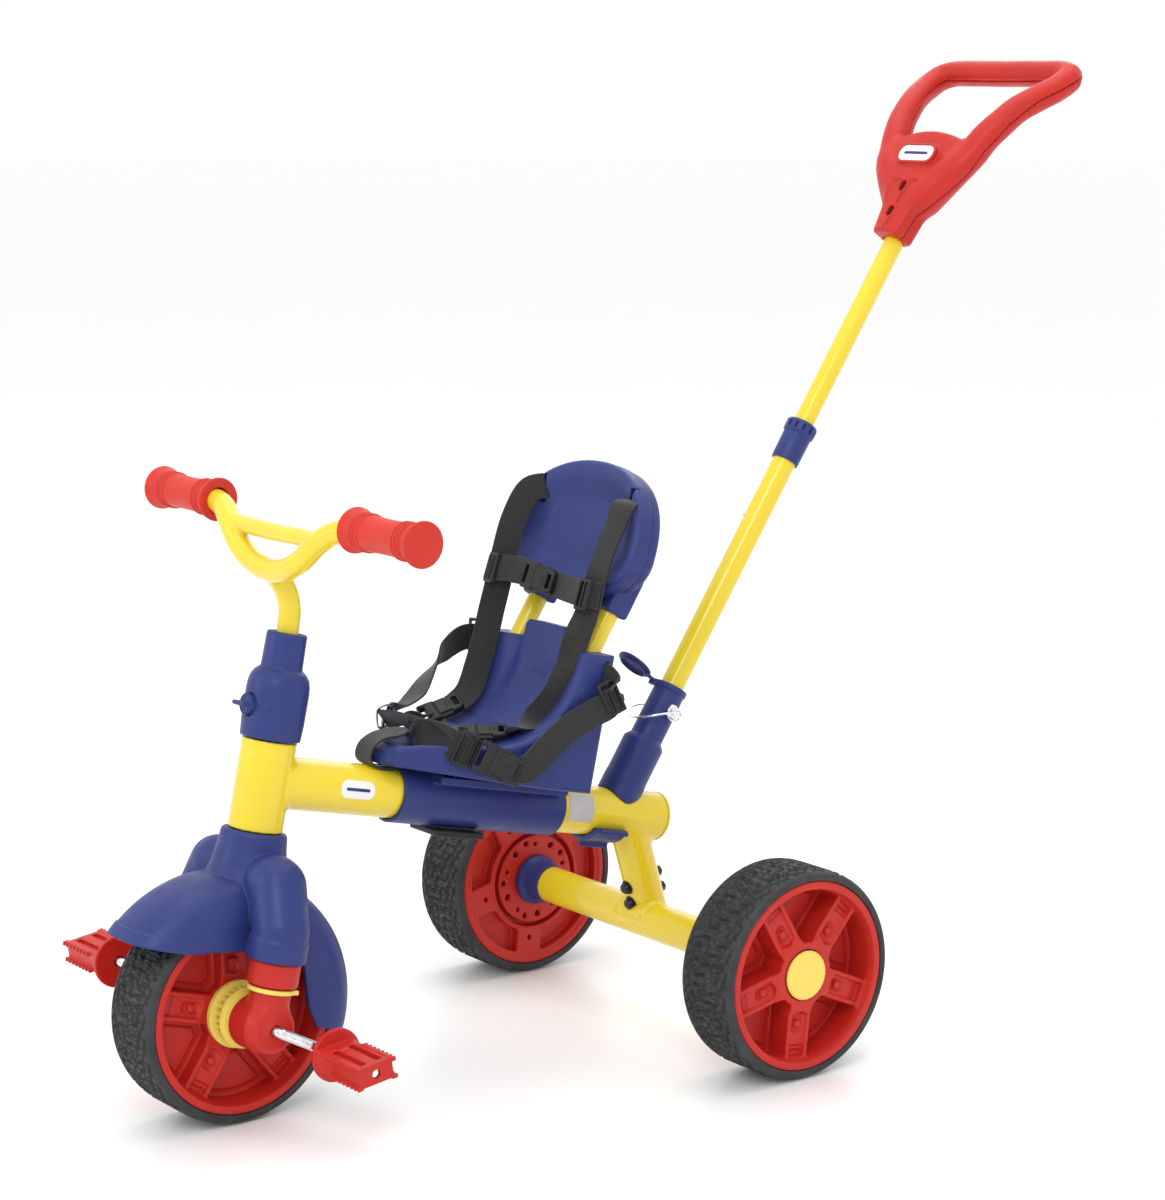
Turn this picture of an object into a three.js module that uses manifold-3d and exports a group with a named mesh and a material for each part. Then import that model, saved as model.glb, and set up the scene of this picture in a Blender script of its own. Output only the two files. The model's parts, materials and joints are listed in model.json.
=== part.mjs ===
// Children's push-along tricycle: welded steel frame, pedal-driven front wheel on a
// clutch hub, bucket seat with headrest and harness, telescoping push handle.
// Millimetres, +Z up. Forward is -Y and the rider's left is +X. The origin lies on the
// floor, under the centre of the box around the whole tricycle.

import * as THREE from "three";
import { mergeVertices } from "three/addons/utils/BufferGeometryUtils.js";
import Module from "manifold-3d";

const wasm = await Module();
wasm.setup();

// ---- Driving dimensions ----
const GAP = 0.4; // running gap between pieces that meet
const SIDES = { rod: 8, tube: 20, wheel: 36 }; // facets round each kind of round piece

const REAR_AXLE_Y = 44.56; // puts the middle of the whole box at the origin
const WHEEL_RADIUS = 100;
const TYRE_WIDTH = 69;
const RIM_RADIUS = 90;
const WHEELBASE = 479.5;
const REAR_TRACK = 429; // between the middles of the rear tyres

const HEAD_TILT = THREE.MathUtils.degToRad(12.2); // steering axis, back from vertical
const BACKBONE_TILT = THREE.MathUtils.degToRad(12.7); // main tube, down towards the rear
const HANDLE_TILT = THREE.MathUtils.degToRad(34.1); // push handle, back from vertical

// Main frame. Heights along the steering axis are measured from the front axle.
const BACKBONE_RADIUS = 24;
const BACKBONE_LENGTH = 448;
const BACKBONE_REAR = [0, 14.9, 201]; // a point near the rear end, on the main tube's centre line
const BACKBONE_END = 3; // the tube's rear edge, forward of that point
const BACKBONE_BORE = 21.8;
const BACKBONE_BORE_DEPTH = 395;
const HEAD_RADIUS = 25;
const HEAD_BORE = 22.5;
const HEAD_LOW = 163.5;
const HEAD_HIGH = 245;
const BUSH_LENGTH = 14;
const STRUT_TOP = [0, -19, 196];
const STRUT_FOOT = [0, 8.3, 104];
const STRUT_RADIUS = 18.5;
const STRUT_BORE = 13.5;
const STRUT_BORE_TOP = [0, -10.1, 166];
const STRUT_POST = [[0, -8.9, 162], [0, 5.3, 114]]; // the axle's post, inside the strut
const BOLT_SHARES = [0.62, 0.80]; // where the two bolts cross the strut, from its top
const BOLT_HOLE = 3.1;

const AXLE_TUBE_RADIUS = 18.5;
const AXLE_TUBE_HALF = 152;
const AXLE_BORE = 16.3;
const AXLE_ROD_RADIUS = 5;
const AXLE_ROD_OVERHANG = 30; // past the middle of each rear wheel
const BUSHING_LENGTH = 27.6;
const BUSHING_SPIGOT = 18;

// Front fork, handlebar and drive.
const LEG_OFFSET = 68.5;
const LEG_RADIUS = 25.5;
const LEG_LOW = 60;
const LEG_BORE = 18.5;
const STEERER_RADIUS = 9.5;
const STEM_RADIUS = 10.2;
const SLEEVE_LOW = 246;
const NECK_LOW = 310;
const NECK_HIGH = 343;
const KNOB_HEIGHT = 275;
const GRIP_INNER = 115;
const GRIP_OUTER = 219;
const GRIP_RADIUS = 20;
const BAR_RADIUS = 10.5;
const TEETH = 10; // of the clutch ring
const CLUTCH_LOW = 14.4; // leaves the ring 6 mm of travel to the wheel's boss
const CLUTCH_BORE = 13.8; // runs on a sleeve of the front rim
const SLEEVE_END = 44;
const CRANK_RADIUS = 4.8;
const CRANK_EXIT = 86;
const PEDAL_INNER = 105;
const PEDAL_OUTER = 174;
const CRANK_REACH = [49, -26]; // from the axle to the left pedal pin: back and up

// Push handle. Heights along it are measured from where it meets the main tube.
const HANDLE_FOOT = [0, -43, 214.1];
const SOCKET_STEP = 77.5;
const SOCKET_TOP = 139;
const SOCKET_RADII = [21, 16];
const LOWER_TUBE_RADIUS = 12;
const UPPER_TUBE_RADIUS = 10.2;
const COLLAR_LOW = 396;
const COLLAR_HIGH = 440;
const LOWER_TUBE_SPAN = [38, 418];
const UPPER_TUBE_SPAN = [265, 735];
const TUBE_WALL = 1.6;
const PIN_HEIGHT = 115.6;
const BUTTON_HEIGHT = 330;
const BUTTON_TOP = 13.8; // from the tubes' centre line
const HOLE_PITCH = 55;
const HOLE_TURN = THREE.MathUtils.degToRad(-40); // holes face forward and to the right
const HUB_LOW = 655;
const SCREW_HEIGHTS = [678, 708];

// Seat, in the main tube's frame: forward along the tube, up from its centre line.
const SLEEVE_SPAN = [134, 324];
const SLEEVE_THICKNESS = 3.4;
const POST_OFFSET = 56;
const POST_RADIUS = 9.6;
const POST_LEAN = THREE.MathUtils.degToRad(20.5);
const STRAP_WIDTH = 25;
const STRAP_THICKNESS = 2.4;

// ---- Materials ----
const paint = (color, roughness, metalness = 0) =>
  new THREE.MeshStandardMaterial({ color, roughness, metalness });
const YELLOW = paint(0xf2df3a, 0.3, 0.1);
const BLUE = paint(0x2f3a80, 0.45);
const RED = paint(0xd0322c, 0.42);
const HUB_YELLOW = paint(0xf0dc5a, 0.45);
const BLACK_TYRE = paint(0x35363a, 0.8);
const BLACK_PLASTIC = paint(0x1c1c1e, 0.5);
const WEBBING = paint(0x1f1e20, 0.9);
const STEEL = paint(0xb9bcc0, 0.25, 1);

// ---- Geometry helpers ----
const vec = (x, y, z) => new THREE.Vector3(x, y, z);

/** A closed geometry as a solid that can be cut and joined. */
function solid(geometry) {
  const bare = geometry.clone();
  bare.deleteAttribute("normal");
  bare.deleteAttribute("uv");
  const merged = mergeVertices(bare, 1e-4);
  const vertProperties = new Float32Array(merged.attributes.position.array);
  const triVerts = new Uint32Array(merged.index.array);
  const body = new wasm.Manifold(new wasm.Mesh({ numProp: 3, vertProperties, triVerts }));
  if (body.volume() >= 0) return body;
  for (let i = 0; i < triVerts.length; i += 3) triVerts.subarray(i, i + 3).reverse();
  return new wasm.Manifold(new wasm.Mesh({ numProp: 3, vertProperties, triVerts }));
}

/** A solid as a geometry for a mesh. */
function geometryOf(body) {
  const mesh = body.getMesh();
  const geometry = new THREE.BufferGeometry();
  const positions = new Float32Array(mesh.numVert * 3);
  for (let i = 0; i < mesh.numVert; i += 1) {
    for (let k = 0; k < 3; k += 1) positions[3 * i + k] = mesh.vertProperties[mesh.numProp * i + k];
  }
  geometry.setAttribute("position", new THREE.BufferAttribute(positions, 3));
  geometry.setIndex(new THREE.BufferAttribute(new Uint32Array(mesh.triVerts), 1));
  geometry.computeVertexNormals();
  return geometry;
}

const join = (first, ...others) => others.reduce((sum, next) => sum.add(next), first);
const cut = (first, ...others) => others.reduce((rest, next) => rest.subtract(next), first);

/** A profile of [radius, height] points turned round the Z axis. */
function turned(profile, sides = SIDES.tube) {
  const points = profile.map(([radius, height]) => new THREE.Vector2(radius, height));
  return new THREE.LatheGeometry(points, sides).rotateX(Math.PI / 2);
}

/** A closed ring profile between two radii and two heights. */
const ringProfile = (inner, outer, low, high) => [
  [inner, low], [outer, low], [outer, high], [inner, high], [inner, low],
];
const tube = (inner, outer, low, high, sides) => solid(turned(ringProfile(inner, outer, low, high), sides));
const disc = (radius, low, high, sides) =>
  solid(turned([[0, low], [radius, low], [radius, high], [0, high]], sides));

/** Turns a solid that stands along Z so that it lies along X. */
const alongX = (body) => body.rotate([0, 90, 0]);

/** A cylinder between two points. */
function rod(from, to, radius, sides = SIDES.rod) {
  const a = vec(...from);
  const b = vec(...to);
  const geometry = new THREE.CylinderGeometry(radius, radius, a.distanceTo(b), sides);
  const turn = new THREE.Quaternion().setFromUnitVectors(vec(0, 1, 0), b.clone().sub(a).normalize());
  geometry.applyQuaternion(turn);
  const middle = a.add(b).multiplyScalar(0.5);
  return solid(geometry.translate(middle.x, middle.y, middle.z));
}

const ball = (at, radius, sides = SIDES.rod) =>
  solid(new THREE.SphereGeometry(radius, sides, sides / 2).translate(...at));

/** A bent rod through points, with round corners. */
function bentRod(points, radius, sides = SIDES.rod) {
  const parts = [];
  for (let i = 0; i + 1 < points.length; i += 1) {
    parts.push(rod(points[i], points[i + 1], radius, sides));
    if (i > 0) parts.push(ball(points[i], radius, sides));
  }
  return join(...parts);
}

/** A round tube along a smooth curve through points. */
function sweptTube(points, radius, steps, sides = SIDES.rod) {
  const section = new THREE.Shape().absarc(0, 0, radius, 0, 2 * Math.PI);
  const extrudePath = new THREE.CatmullRomCurve3(points.map((p) => vec(...p)));
  const options = { steps, extrudePath, bevelEnabled: false, curveSegments: sides / 2 };
  return solid(new THREE.ExtrudeGeometry(section, options));
}

/** An outline of [x, y] points, drawn up along Z between two heights. */
function prism(outline, low, high) {
  const shape = new THREE.Shape(outline.map(([x, y]) => new THREE.Vector2(x, y)));
  const geometry = new THREE.ExtrudeGeometry(shape, { depth: high - low, bevelEnabled: false });
  return solid(geometry.translate(0, 0, low));
}

/** An outline of [y, z] points, drawn along X between two places. */
function sidePrism(outline, from, to) {
  return prism(outline, from, to).transform([0, 1, 0, 0, 0, 0, 1, 0, 1, 0, 0, 0, 0, 0, 0, 1]);
}

const box = (size, at) => solid(new THREE.BoxGeometry(...size).translate(...at));

/** A closed skin over rings of points, each ring with the same number of points. */
function loft(rings) {
  const count = rings[0].length;
  const positions = rings.flat().flatMap((p) => [p.x, p.y, p.z]);
  const index = [];
  for (let ring = 0; ring + 1 < rings.length; ring += 1) {
    for (let i = 0; i < count; i += 1) {
      const a = ring * count + i;
      const b = ring * count + ((i + 1) % count);
      index.push(a, b, a + count, b, b + count, a + count);
    }
  }
  for (const [ring, flip] of [[0, true], [rings.length - 1, false]]) {
    const centre = rings[ring].reduce((sum, p) => sum.add(p), vec(0, 0, 0)).divideScalar(count);
    const hub = positions.length / 3;
    positions.push(centre.x, centre.y, centre.z);
    for (let i = 0; i < count; i += 1) {
      const a = ring * count + i;
      const b = ring * count + ((i + 1) % count);
      index.push(...(flip ? [hub, b, a] : [hub, a, b]));
    }
  }
  const geometry = new THREE.BufferGeometry();
  geometry.setAttribute("position", new THREE.BufferAttribute(new Float32Array(positions), 3));
  geometry.setIndex(index);
  return solid(geometry);
}

/** A rounded rectangle of points, in a plane given by its middle and two half axes. */
function roundedRing(middle, across, up, sides = 16, power = 0.55) {
  return Array.from({ length: sides }, (_, i) => {
    const angle = (2 * Math.PI * (i + 0.5)) / sides;
    const round = (value) => Math.sign(value) * Math.abs(value) ** power;
    return middle.clone()
      .addScaledVector(across, round(Math.cos(angle)))
      .addScaledVector(up, round(Math.sin(angle)));
  });
}

/** A flat strap of webbing through points; each point also gives the width direction. */
function strap(route, width = STRAP_WIDTH) {
  const points = route.map(([at]) => vec(...at));
  const rings = points.map((point, i) => {
    const ahead = points[Math.min(i + 1, points.length - 1)];
    const behind = points[Math.max(i - 1, 0)];
    const along = ahead.clone().sub(behind).normalize();
    const across = vec(...route[i][1]);
    across.addScaledVector(along, -across.dot(along)).normalize();
    const face = along.clone().cross(across).multiplyScalar(STRAP_THICKNESS / 2);
    across.multiplyScalar(width / 2);
    return [[1, 1], [-1, 1], [-1, -1], [1, -1]].map(([w, t]) =>
      point.clone().addScaledVector(across, w).addScaledVector(face, t));
  });
  return loft(rings);
}

// ---- Assembly frames ----
const tricycle = new THREE.Group();
tricycle.name = "tricycle";
tricycle.position.y = REAR_AXLE_Y;

function frameAt(parent, at, tilt = 0) {
  const group = new THREE.Group();
  group.position.set(...at);
  group.rotation.x = -tilt;
  parent.add(group);
  return group;
}
const FRONT_AXLE = [0, -WHEELBASE, WHEEL_RADIUS];
const frontAxle = frameAt(tricycle, FRONT_AXLE);
const steering = frameAt(frontAxle, [0, 0, 0], HEAD_TILT);
const backbone = frameAt(tricycle, BACKBONE_REAR, BACKBONE_TILT);
const pushHandle = frameAt(tricycle, HANDLE_FOOT, HANDLE_TILT);

/** Puts a solid into an assembly frame as a named mesh. */
function piece(parent, name, body, material) {
  const mesh = new THREE.Mesh(geometryOf(body), material);
  mesh.name = name;
  parent.add(mesh);
}

const degrees = THREE.MathUtils.radToDeg;
/** Moves a solid from a tilted frame into the frame that it stands in. */
const fromFrame = (body, at, tilt) => body.rotate([-degrees(tilt), 0, 0]).translate(at);
const inSteering = (body) => fromFrame(body, FRONT_AXLE, HEAD_TILT);
const inBackbone = (body) => fromFrame(body, BACKBONE_REAR, BACKBONE_TILT);

// ---- Main frame ----
function addMainFrame() {
  const head = inSteering(disc(HEAD_RADIUS, HEAD_LOW, HEAD_HIGH));
  const headBore = inSteering(disc(HEAD_BORE, HEAD_LOW - 5, HEAD_HIGH + 5));
  const alongBeam = (radius, from, to) => inBackbone(disc(radius, from, to).rotate([90, 0, 0]));
  const beam = alongBeam(BACKBONE_RADIUS, BACKBONE_END, BACKBONE_LENGTH);
  const beamBore = alongBeam(BACKBONE_BORE, BACKBONE_END - 5, BACKBONE_BORE_DEPTH);
  const strut = cut(rod(STRUT_TOP, STRUT_FOOT, STRUT_RADIUS, SIDES.tube), beamBore);
  const strutBore = rod(STRUT_BORE_TOP, STRUT_FOOT, STRUT_BORE, SIDES.tube);
  const axleRoom = alongX(disc(AXLE_TUBE_RADIUS + 2 * GAP, -60, 60)).translate([0, 0, WHEEL_RADIUS]);
  const welded = join(cut(join(head, beam), beamBore), strut);
  piece(tricycle, "main_frame", cut(welded, headBore, strutBore, axleRoom, ...boltHoles()), YELLOW);

  const plug = disc(BACKBONE_BORE - 2 * GAP, -18, 0.3);
  const rim = disc(BACKBONE_RADIUS + 0.6, 0.3, 3.3);
  const cap = join(plug, rim).rotate([-90, 0, 0]).translate([0, -BACKBONE_END, 0]);
  piece(backbone, "frame_end_cap", cap, YELLOW);
}

/** Middle of each strut bolt, and the direction that the bolts point in. */
const STRUT_LINE = vec(...STRUT_FOOT).sub(vec(...STRUT_TOP)).normalize();
const BOLT_LINE = vec(0, STRUT_LINE.z, -STRUT_LINE.y);
const BOLT_PLACES = BOLT_SHARES.map((share) => vec(...STRUT_TOP).lerp(vec(...STRUT_FOOT), share));

/** A round length of a strut bolt's line, between two distances from the strut's middle. */
function onBoltLine(place, from, to, radius, sides = SIDES.rod) {
  const ends = [from, to].map((reach) => place.clone().addScaledVector(BOLT_LINE, reach).toArray());
  return rod(...ends, radius, sides);
}
const boltHoles = () => BOLT_PLACES.map((place) => onBoltLine(place, -40, 40, BOLT_HOLE));

function addRearAxle() {
  const post = rod(...STRUT_POST, STRUT_BORE - GAP - 0.2, SIDES.tube);
  const across = alongX(disc(AXLE_TUBE_RADIUS, -AXLE_TUBE_HALF, AXLE_TUBE_HALF));
  const bore = alongX(disc(AXLE_BORE, -AXLE_TUBE_HALF - 5, AXLE_TUBE_HALF + 5));
  const level = [0, 0, WHEEL_RADIUS];
  const welded = cut(join(across.translate(level), post), bore.translate(level), ...boltHoles());
  piece(tricycle, "rear_axle_tube", welded, YELLOW);
  const rodHalf = REAR_TRACK / 2 + AXLE_ROD_OVERHANG;
  const axle = alongX(disc(AXLE_ROD_RADIUS, -rodHalf, rodHalf, SIDES.rod));
  piece(tricycle, "rear_axle_rod", axle.translate(level), STEEL);

  BOLT_PLACES.forEach((place, i) => {
    const shank = onBoltLine(place, -19.5, 24, 2.5);
    const head = onBoltLine(place, 19.3, 25.5, 5.5, 16);
    const nut = onBoltLine(place, -25, -19.1, 5.2, 6);
    const bolt = join(shank, head, nut);
    piece(tricycle, `strut_bolt_${["upper", "lower"][i]}`, bolt, STEEL);
  });

  for (const [side, sign] of [["left", 1], ["right", -1]]) {
    const bore = AXLE_ROD_RADIUS + GAP;
    const flare = [
      [bore, -BUSHING_SPIGOT], [AXLE_BORE - GAP, -BUSHING_SPIGOT], [AXLE_BORE - GAP, 0],
      [19.5, 0], [20, 12], [22, 19], [26, 24], [26, BUSHING_LENGTH], [bore, BUSHING_LENGTH],
      [bore, -BUSHING_SPIGOT],
    ];
    const bushing = alongX(solid(turned(flare))).translate([AXLE_TUBE_HALF + GAP, 0, WHEEL_RADIUS]);
    piece(tricycle, `axle_bushing_${side}`, sign > 0 ? bushing : bushing.mirror([1, 0, 0]), BLUE);
  }
}

// ---- Wheels ----
function tyre() {
  const half = TYRE_WIDTH / 2;
  const inner = RIM_RADIUS + GAP;
  const outline = [
    [inner, -half], [94, -half], [98, -half + 2], [WHEEL_RADIUS, -half + 7],
    [WHEEL_RADIUS, half - 7], [98, half - 2], [94, half], [inner, half], [inner, -half],
  ];
  return alongX(solid(turned(outline, SIDES.wheel)));
}

/** A rim with a recessed web; its boss turns on the axle, and a sleeve may stand out from it. */
function rim(webLow, webHigh, bore, sleeveEnd = webHigh) {
  const half = TYRE_WIDTH / 2 - 0.5;
  const drum = tube(82, RIM_RADIUS, -half, half, SIDES.wheel);
  const web = disc(84, webLow, webHigh, SIDES.wheel);
  const boss = disc(22, -half + 2, webHigh, SIDES.tube);
  const sleeve = disc(CLUTCH_BORE - GAP, webLow + 1, sleeveEnd);
  return alongX(cut(join(drum, web, boss, sleeve), disc(bore, -half - 5, sleeveEnd + 5, SIDES.rod)));
}

function addRearWheels() {
  for (const [side, sign] of [["left", 1], ["right", -1]]) {
    const at = [sign * REAR_TRACK / 2, 0, WHEEL_RADIUS];
    const facing = (body) => (sign > 0 ? body : body.mirror([1, 0, 0])).translate(at);
    piece(tricycle, `rear_tyre_${side}`, facing(tyre()), BLACK_TYRE);
    piece(tricycle, `rear_rim_${side}`, facing(rim(14, 26, AXLE_ROD_RADIUS + GAP)), RED);
    const capProfile = [[0, 30.4], [7, 30.4], [7, 26.4], [23.5, 26.4], [23.5, 29], [21, 31.4], [0, 32]];
    piece(tricycle, `hub_cap_${side}`, facing(alongX(solid(turned(capProfile)))), HUB_YELLOW);
  }
}

function addFrontWheel() {
  piece(frontAxle, "front_tyre", tyre(), BLACK_TYRE);
  piece(frontAxle, "front_rim", rim(-8, 8, CRANK_RADIUS + GAP, SLEEVE_END), RED);
  const teeth = [];
  for (let i = 0; i < TEETH; i += 1) {
    const angle = (2 * Math.PI * i) / TEETH;
    teeth.push(box([3, 3, 8], [25.5 * Math.cos(angle), 25.5 * Math.sin(angle), 28]));
  }
  const flange = tube(CLUTCH_BORE, 31, 20, 25.5, 30);
  const hub = tube(CLUTCH_BORE, 24.5, CLUTCH_LOW, 46, 30);
  piece(frontAxle, "clutch_ring", alongX(join(flange, hub, ...teeth)), HUB_YELLOW);
}

// ---- Crank and pedals ----
function addCrank() {
  const [back, up] = CRANK_REACH;
  const centre = [
    [-PEDAL_OUTER - 2, -back, -up], [-PEDAL_INNER + 4, -back, -up], [-CRANK_EXIT - 6, 0, 0],
    [CRANK_EXIT + 6, 0, 0], [PEDAL_INNER - 4, back, up], [PEDAL_OUTER + 2, back, up],
  ];
  piece(frontAxle, "pedal_crank", bentRod(centre, CRANK_RADIUS), STEEL);

  for (const [side, sign] of [["left", 1], ["right", -1]]) {
    const flange = disc(24.5, PEDAL_INNER, PEDAL_INNER + 7, 32);
    const treadOutline = [
      [PEDAL_INNER + 6, -24], [PEDAL_INNER + 26, -21], [PEDAL_OUTER, -21], [PEDAL_OUTER, 21],
      [PEDAL_INNER + 26, 21], [PEDAL_INNER + 6, 24],
    ];
    const tread = prism(treadOutline, -11, 11);
    const bore = disc(CRANK_RADIUS + GAP, PEDAL_INNER - 5, PEDAL_OUTER + 5, SIDES.rod);
    const body = cut(join(alongX(flange), tread), alongX(bore));
    const placed = body.rotate([8, 0, 0]).translate([0, back, up]);
    piece(frontAxle, `pedal_${side}`, sign > 0 ? placed : placed.rotate([0, 0, 180]).mirror([0, 0, 1]), RED);
  }
}

// ---- Fork with its mudguard ----
function addFork() {
  /** The mudguard's surface: a rounded drum over the tyre, drawn out a little at the front. */
  const drum = (radius, half) => {
    const body = alongX(solid(turned([
      [0, -half], [radius - 40, -half], [radius - 12, -half + 9], [radius - 2, -half + 26],
      [radius - 2, half - 26], [radius - 12, half - 9], [radius - 40, half], [0, half],
    ], 30)));
    const ahead = box([200, 300, 400], [0, -150, 0]);
    return join(body.scale([1, 1.1, 1]).intersect(ahead), cut(body, ahead)).translate([0, -6, 4]);
  };
  const wheelRoom = drum(121, 43);
  const keep = sidePrism([
    [-140, 92], [-62, 71], [-14, 65.5], [38, 55.5], [54, 55], [68, -20], [124, -40],
    [170, -40], [170, 160], [-170, 160],
  ], -60, 60);
  const tilted = (body) => body.rotate([-degrees(HEAD_TILT), 0, 0]);
  const legs = [];
  const bores = [];
  for (const sign of [1, -1]) {
    const straight = disc(LEG_RADIUS, LEG_LOW, 86).translate([sign * LEG_OFFSET, 0, 0]);
    const elbow = [sign * LEG_OFFSET, 0, 86];
    const shoulder = [sign * 52, 0, 122];
    const upper = join(rod(elbow, shoulder, LEG_RADIUS, SIDES.tube), ball(shoulder, LEG_RADIUS, 16));
    legs.push(tilted(join(straight, ball(elbow, LEG_RADIUS, 16), upper)));
    bores.push(tilted(disc(LEG_BORE, LEG_LOW - 5, 84).translate([sign * LEG_OFFSET, 0, 0])));
  }
  const bridge = tilted(alongX(disc(23, -50, 50)).translate([0, 0, 124]));
  const crownTop = HEAD_LOW - 0.6;
  const crown = tilted(solid(turned([[0, 112], [38, 112], [33, 140], [29, crownTop], [0, crownTop]])));
  const steererHole = tilted(disc(STEERER_RADIUS + GAP, 121, 200));
  const hoodShell = drum(125, 46.5).intersect(keep);
  const body = cut(join(hoodShell, ...legs, bridge, crown), wheelRoom, ...bores, steererHole);
  piece(frontAxle, "fork_crown", body, BLUE);

  piece(steering, "steerer_tube", disc(STEERER_RADIUS, 121.5, 318, 20), STEEL);
  for (const [name, low] of [["lower", HEAD_LOW], ["upper", HEAD_HIGH - BUSH_LENGTH]]) {
    const bush = tube(STEERER_RADIUS + GAP, HEAD_BORE - GAP, low, low + BUSH_LENGTH);
    piece(steering, `headset_bush_${name}`, bush, BLACK_PLASTIC);
  }
}

function addDriveHousings() {
  for (const [side, sign] of [["left", 1], ["right", -1]]) {
    const collar = disc(23, 37, LEG_LOW - GAP);
    const spigot = disc(LEG_BORE - GAP, 50, 82);
    const neck = disc(18.5, 0, 40);
    const upright = join(collar, spigot, neck).translate([sign * LEG_OFFSET, 0, 0]);
    const profile = [[0, 47], [24.5, 47], [24.5, 72], [21.5, 84], [20, 85.5], [0, 85.5]];
    const drum = alongX(solid(turned(profile)));
    const bore = alongX(disc(CRANK_RADIUS + GAP, 40, 95, SIDES.rod));
    const barrel = sign > 0 ? cut(drum, bore) : cut(drum, bore).mirror([1, 0, 0]);
    const clear = sign > 0 ? bore : bore.mirror([1, 0, 0]);
    const body = cut(join(upright, barrel.rotate([degrees(HEAD_TILT), 0, 0])), clear);
    piece(steering, `hub_housing_${side}`, body, RED);

    const ring = tube(18.5 + GAP, 23.2, 31.5, 36.6);
    const mouth = box([26, 30, 12], [0, 20, 34]);
    piece(steering, `leg_clip_${side}`, cut(ring, mouth).translate([sign * LEG_OFFSET, 0, 0]), HUB_YELLOW);
  }
}

// ---- Handlebar ----
function addHandlebar() {
  const inFrame = (y, z) => [y + WHEELBASE, z - WHEEL_RADIUS];
  const at = (x, y, z) => [x, ...inFrame(y, z)];
  const half = [
    [30, -422, 499], [60, -417, 514], [88, -412, 530], [112, -408, 540], [150, -407.5, 541.5],
    [214, -407.5, 541.5],
  ];
  const route = [
    ...half.map(([x, y, z]) => at(-x, y, z)).reverse(), at(0, -424, 493), ...half.map((p) => at(...p)),
  ];
  const bar = sweptTube(route, BAR_RADIUS, 32);
  const brace = rod(at(-74, -415, 525), at(74, -415, 525), 7);
  const stemRoute = [
    at(0, -409.2, 424.5), at(0, -406.2, 440), at(0, -404.5, 458), at(0, -410, 476), at(0, -422, 491),
  ];
  const stem = sweptTube(stemRoute, STEM_RADIUS, 10, 12);
  piece(frontAxle, "handlebar", join(bar, brace, stem), YELLOW);

  for (const [side, sign] of [["left", 1], ["right", -1]]) {
    const bore = BAR_RADIUS + GAP + 1;
    const profile = [
      [bore, GRIP_INNER], [GRIP_RADIUS, GRIP_INNER + 1], [GRIP_RADIUS, GRIP_INNER + 7],
      [17.5, GRIP_INNER + 12], [15.5, GRIP_INNER + 24], [15.5, GRIP_OUTER - 24], [17.5, GRIP_OUTER - 12],
      [GRIP_RADIUS, GRIP_OUTER - 7], [GRIP_RADIUS, GRIP_OUTER - 1.5], [17, GRIP_OUTER], [0, GRIP_OUTER],
      [0, GRIP_OUTER - 3.5], [bore, GRIP_OUTER - 3.5], [bore, GRIP_INNER],
    ];
    const grip = alongX(solid(turned(profile))).translate(at(0, -407.5, 541.5));
    piece(frontAxle, `grip_${side}`, sign > 0 ? grip : grip.mirror([1, 0, 0]), RED);
  }

  const bottle = solid(turned([
    [0, SLEEVE_LOW], [27, SLEEVE_LOW], [28.5, 292], [26, 301], [19.5, 308], [19, NECK_LOW],
    [18.6, NECK_HIGH - 1], [17.6, NECK_HIGH], [0, NECK_HIGH],
  ]));
  const steererRoom = disc(STEERER_RADIUS + GAP, SLEEVE_LOW - 5, 321, 20);
  const inSteeringLocal = (body) => body.rotate([degrees(HEAD_TILT), 0, 0]);
  const stemRoom = sweptTube([at(0, -409.4, 423.5), ...stemRoute.slice(1)], STEM_RADIUS + GAP, 10, 12);
  const knobRoom = rod([0, -40, KNOB_HEIGHT], [0, -18, KNOB_HEIGHT], 7);
  piece(steering, "handlebar_sleeve", cut(bottle, steererRoom, inSteeringLocal(stemRoom), knobRoom), BLUE);

  const shank = rod([0, -29.5, KNOB_HEIGHT], [0, -19, KNOB_HEIGHT], 6);
  const face = rod([0, -32, KNOB_HEIGHT], [0, -29.2, KNOB_HEIGHT], 10, 20);
  const wing = box([4, 8, 18], [0, -35.5, KNOB_HEIGHT]);
  piece(steering, "lock_knob", join(shank, face, wing), BLUE);
}

// ---- Seat ----
/** Seat coordinates are [across, forward, up]; the frame's own Y points backwards. */
const seatPoint = (across, forward, up) => vec(across, -forward, up);

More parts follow.
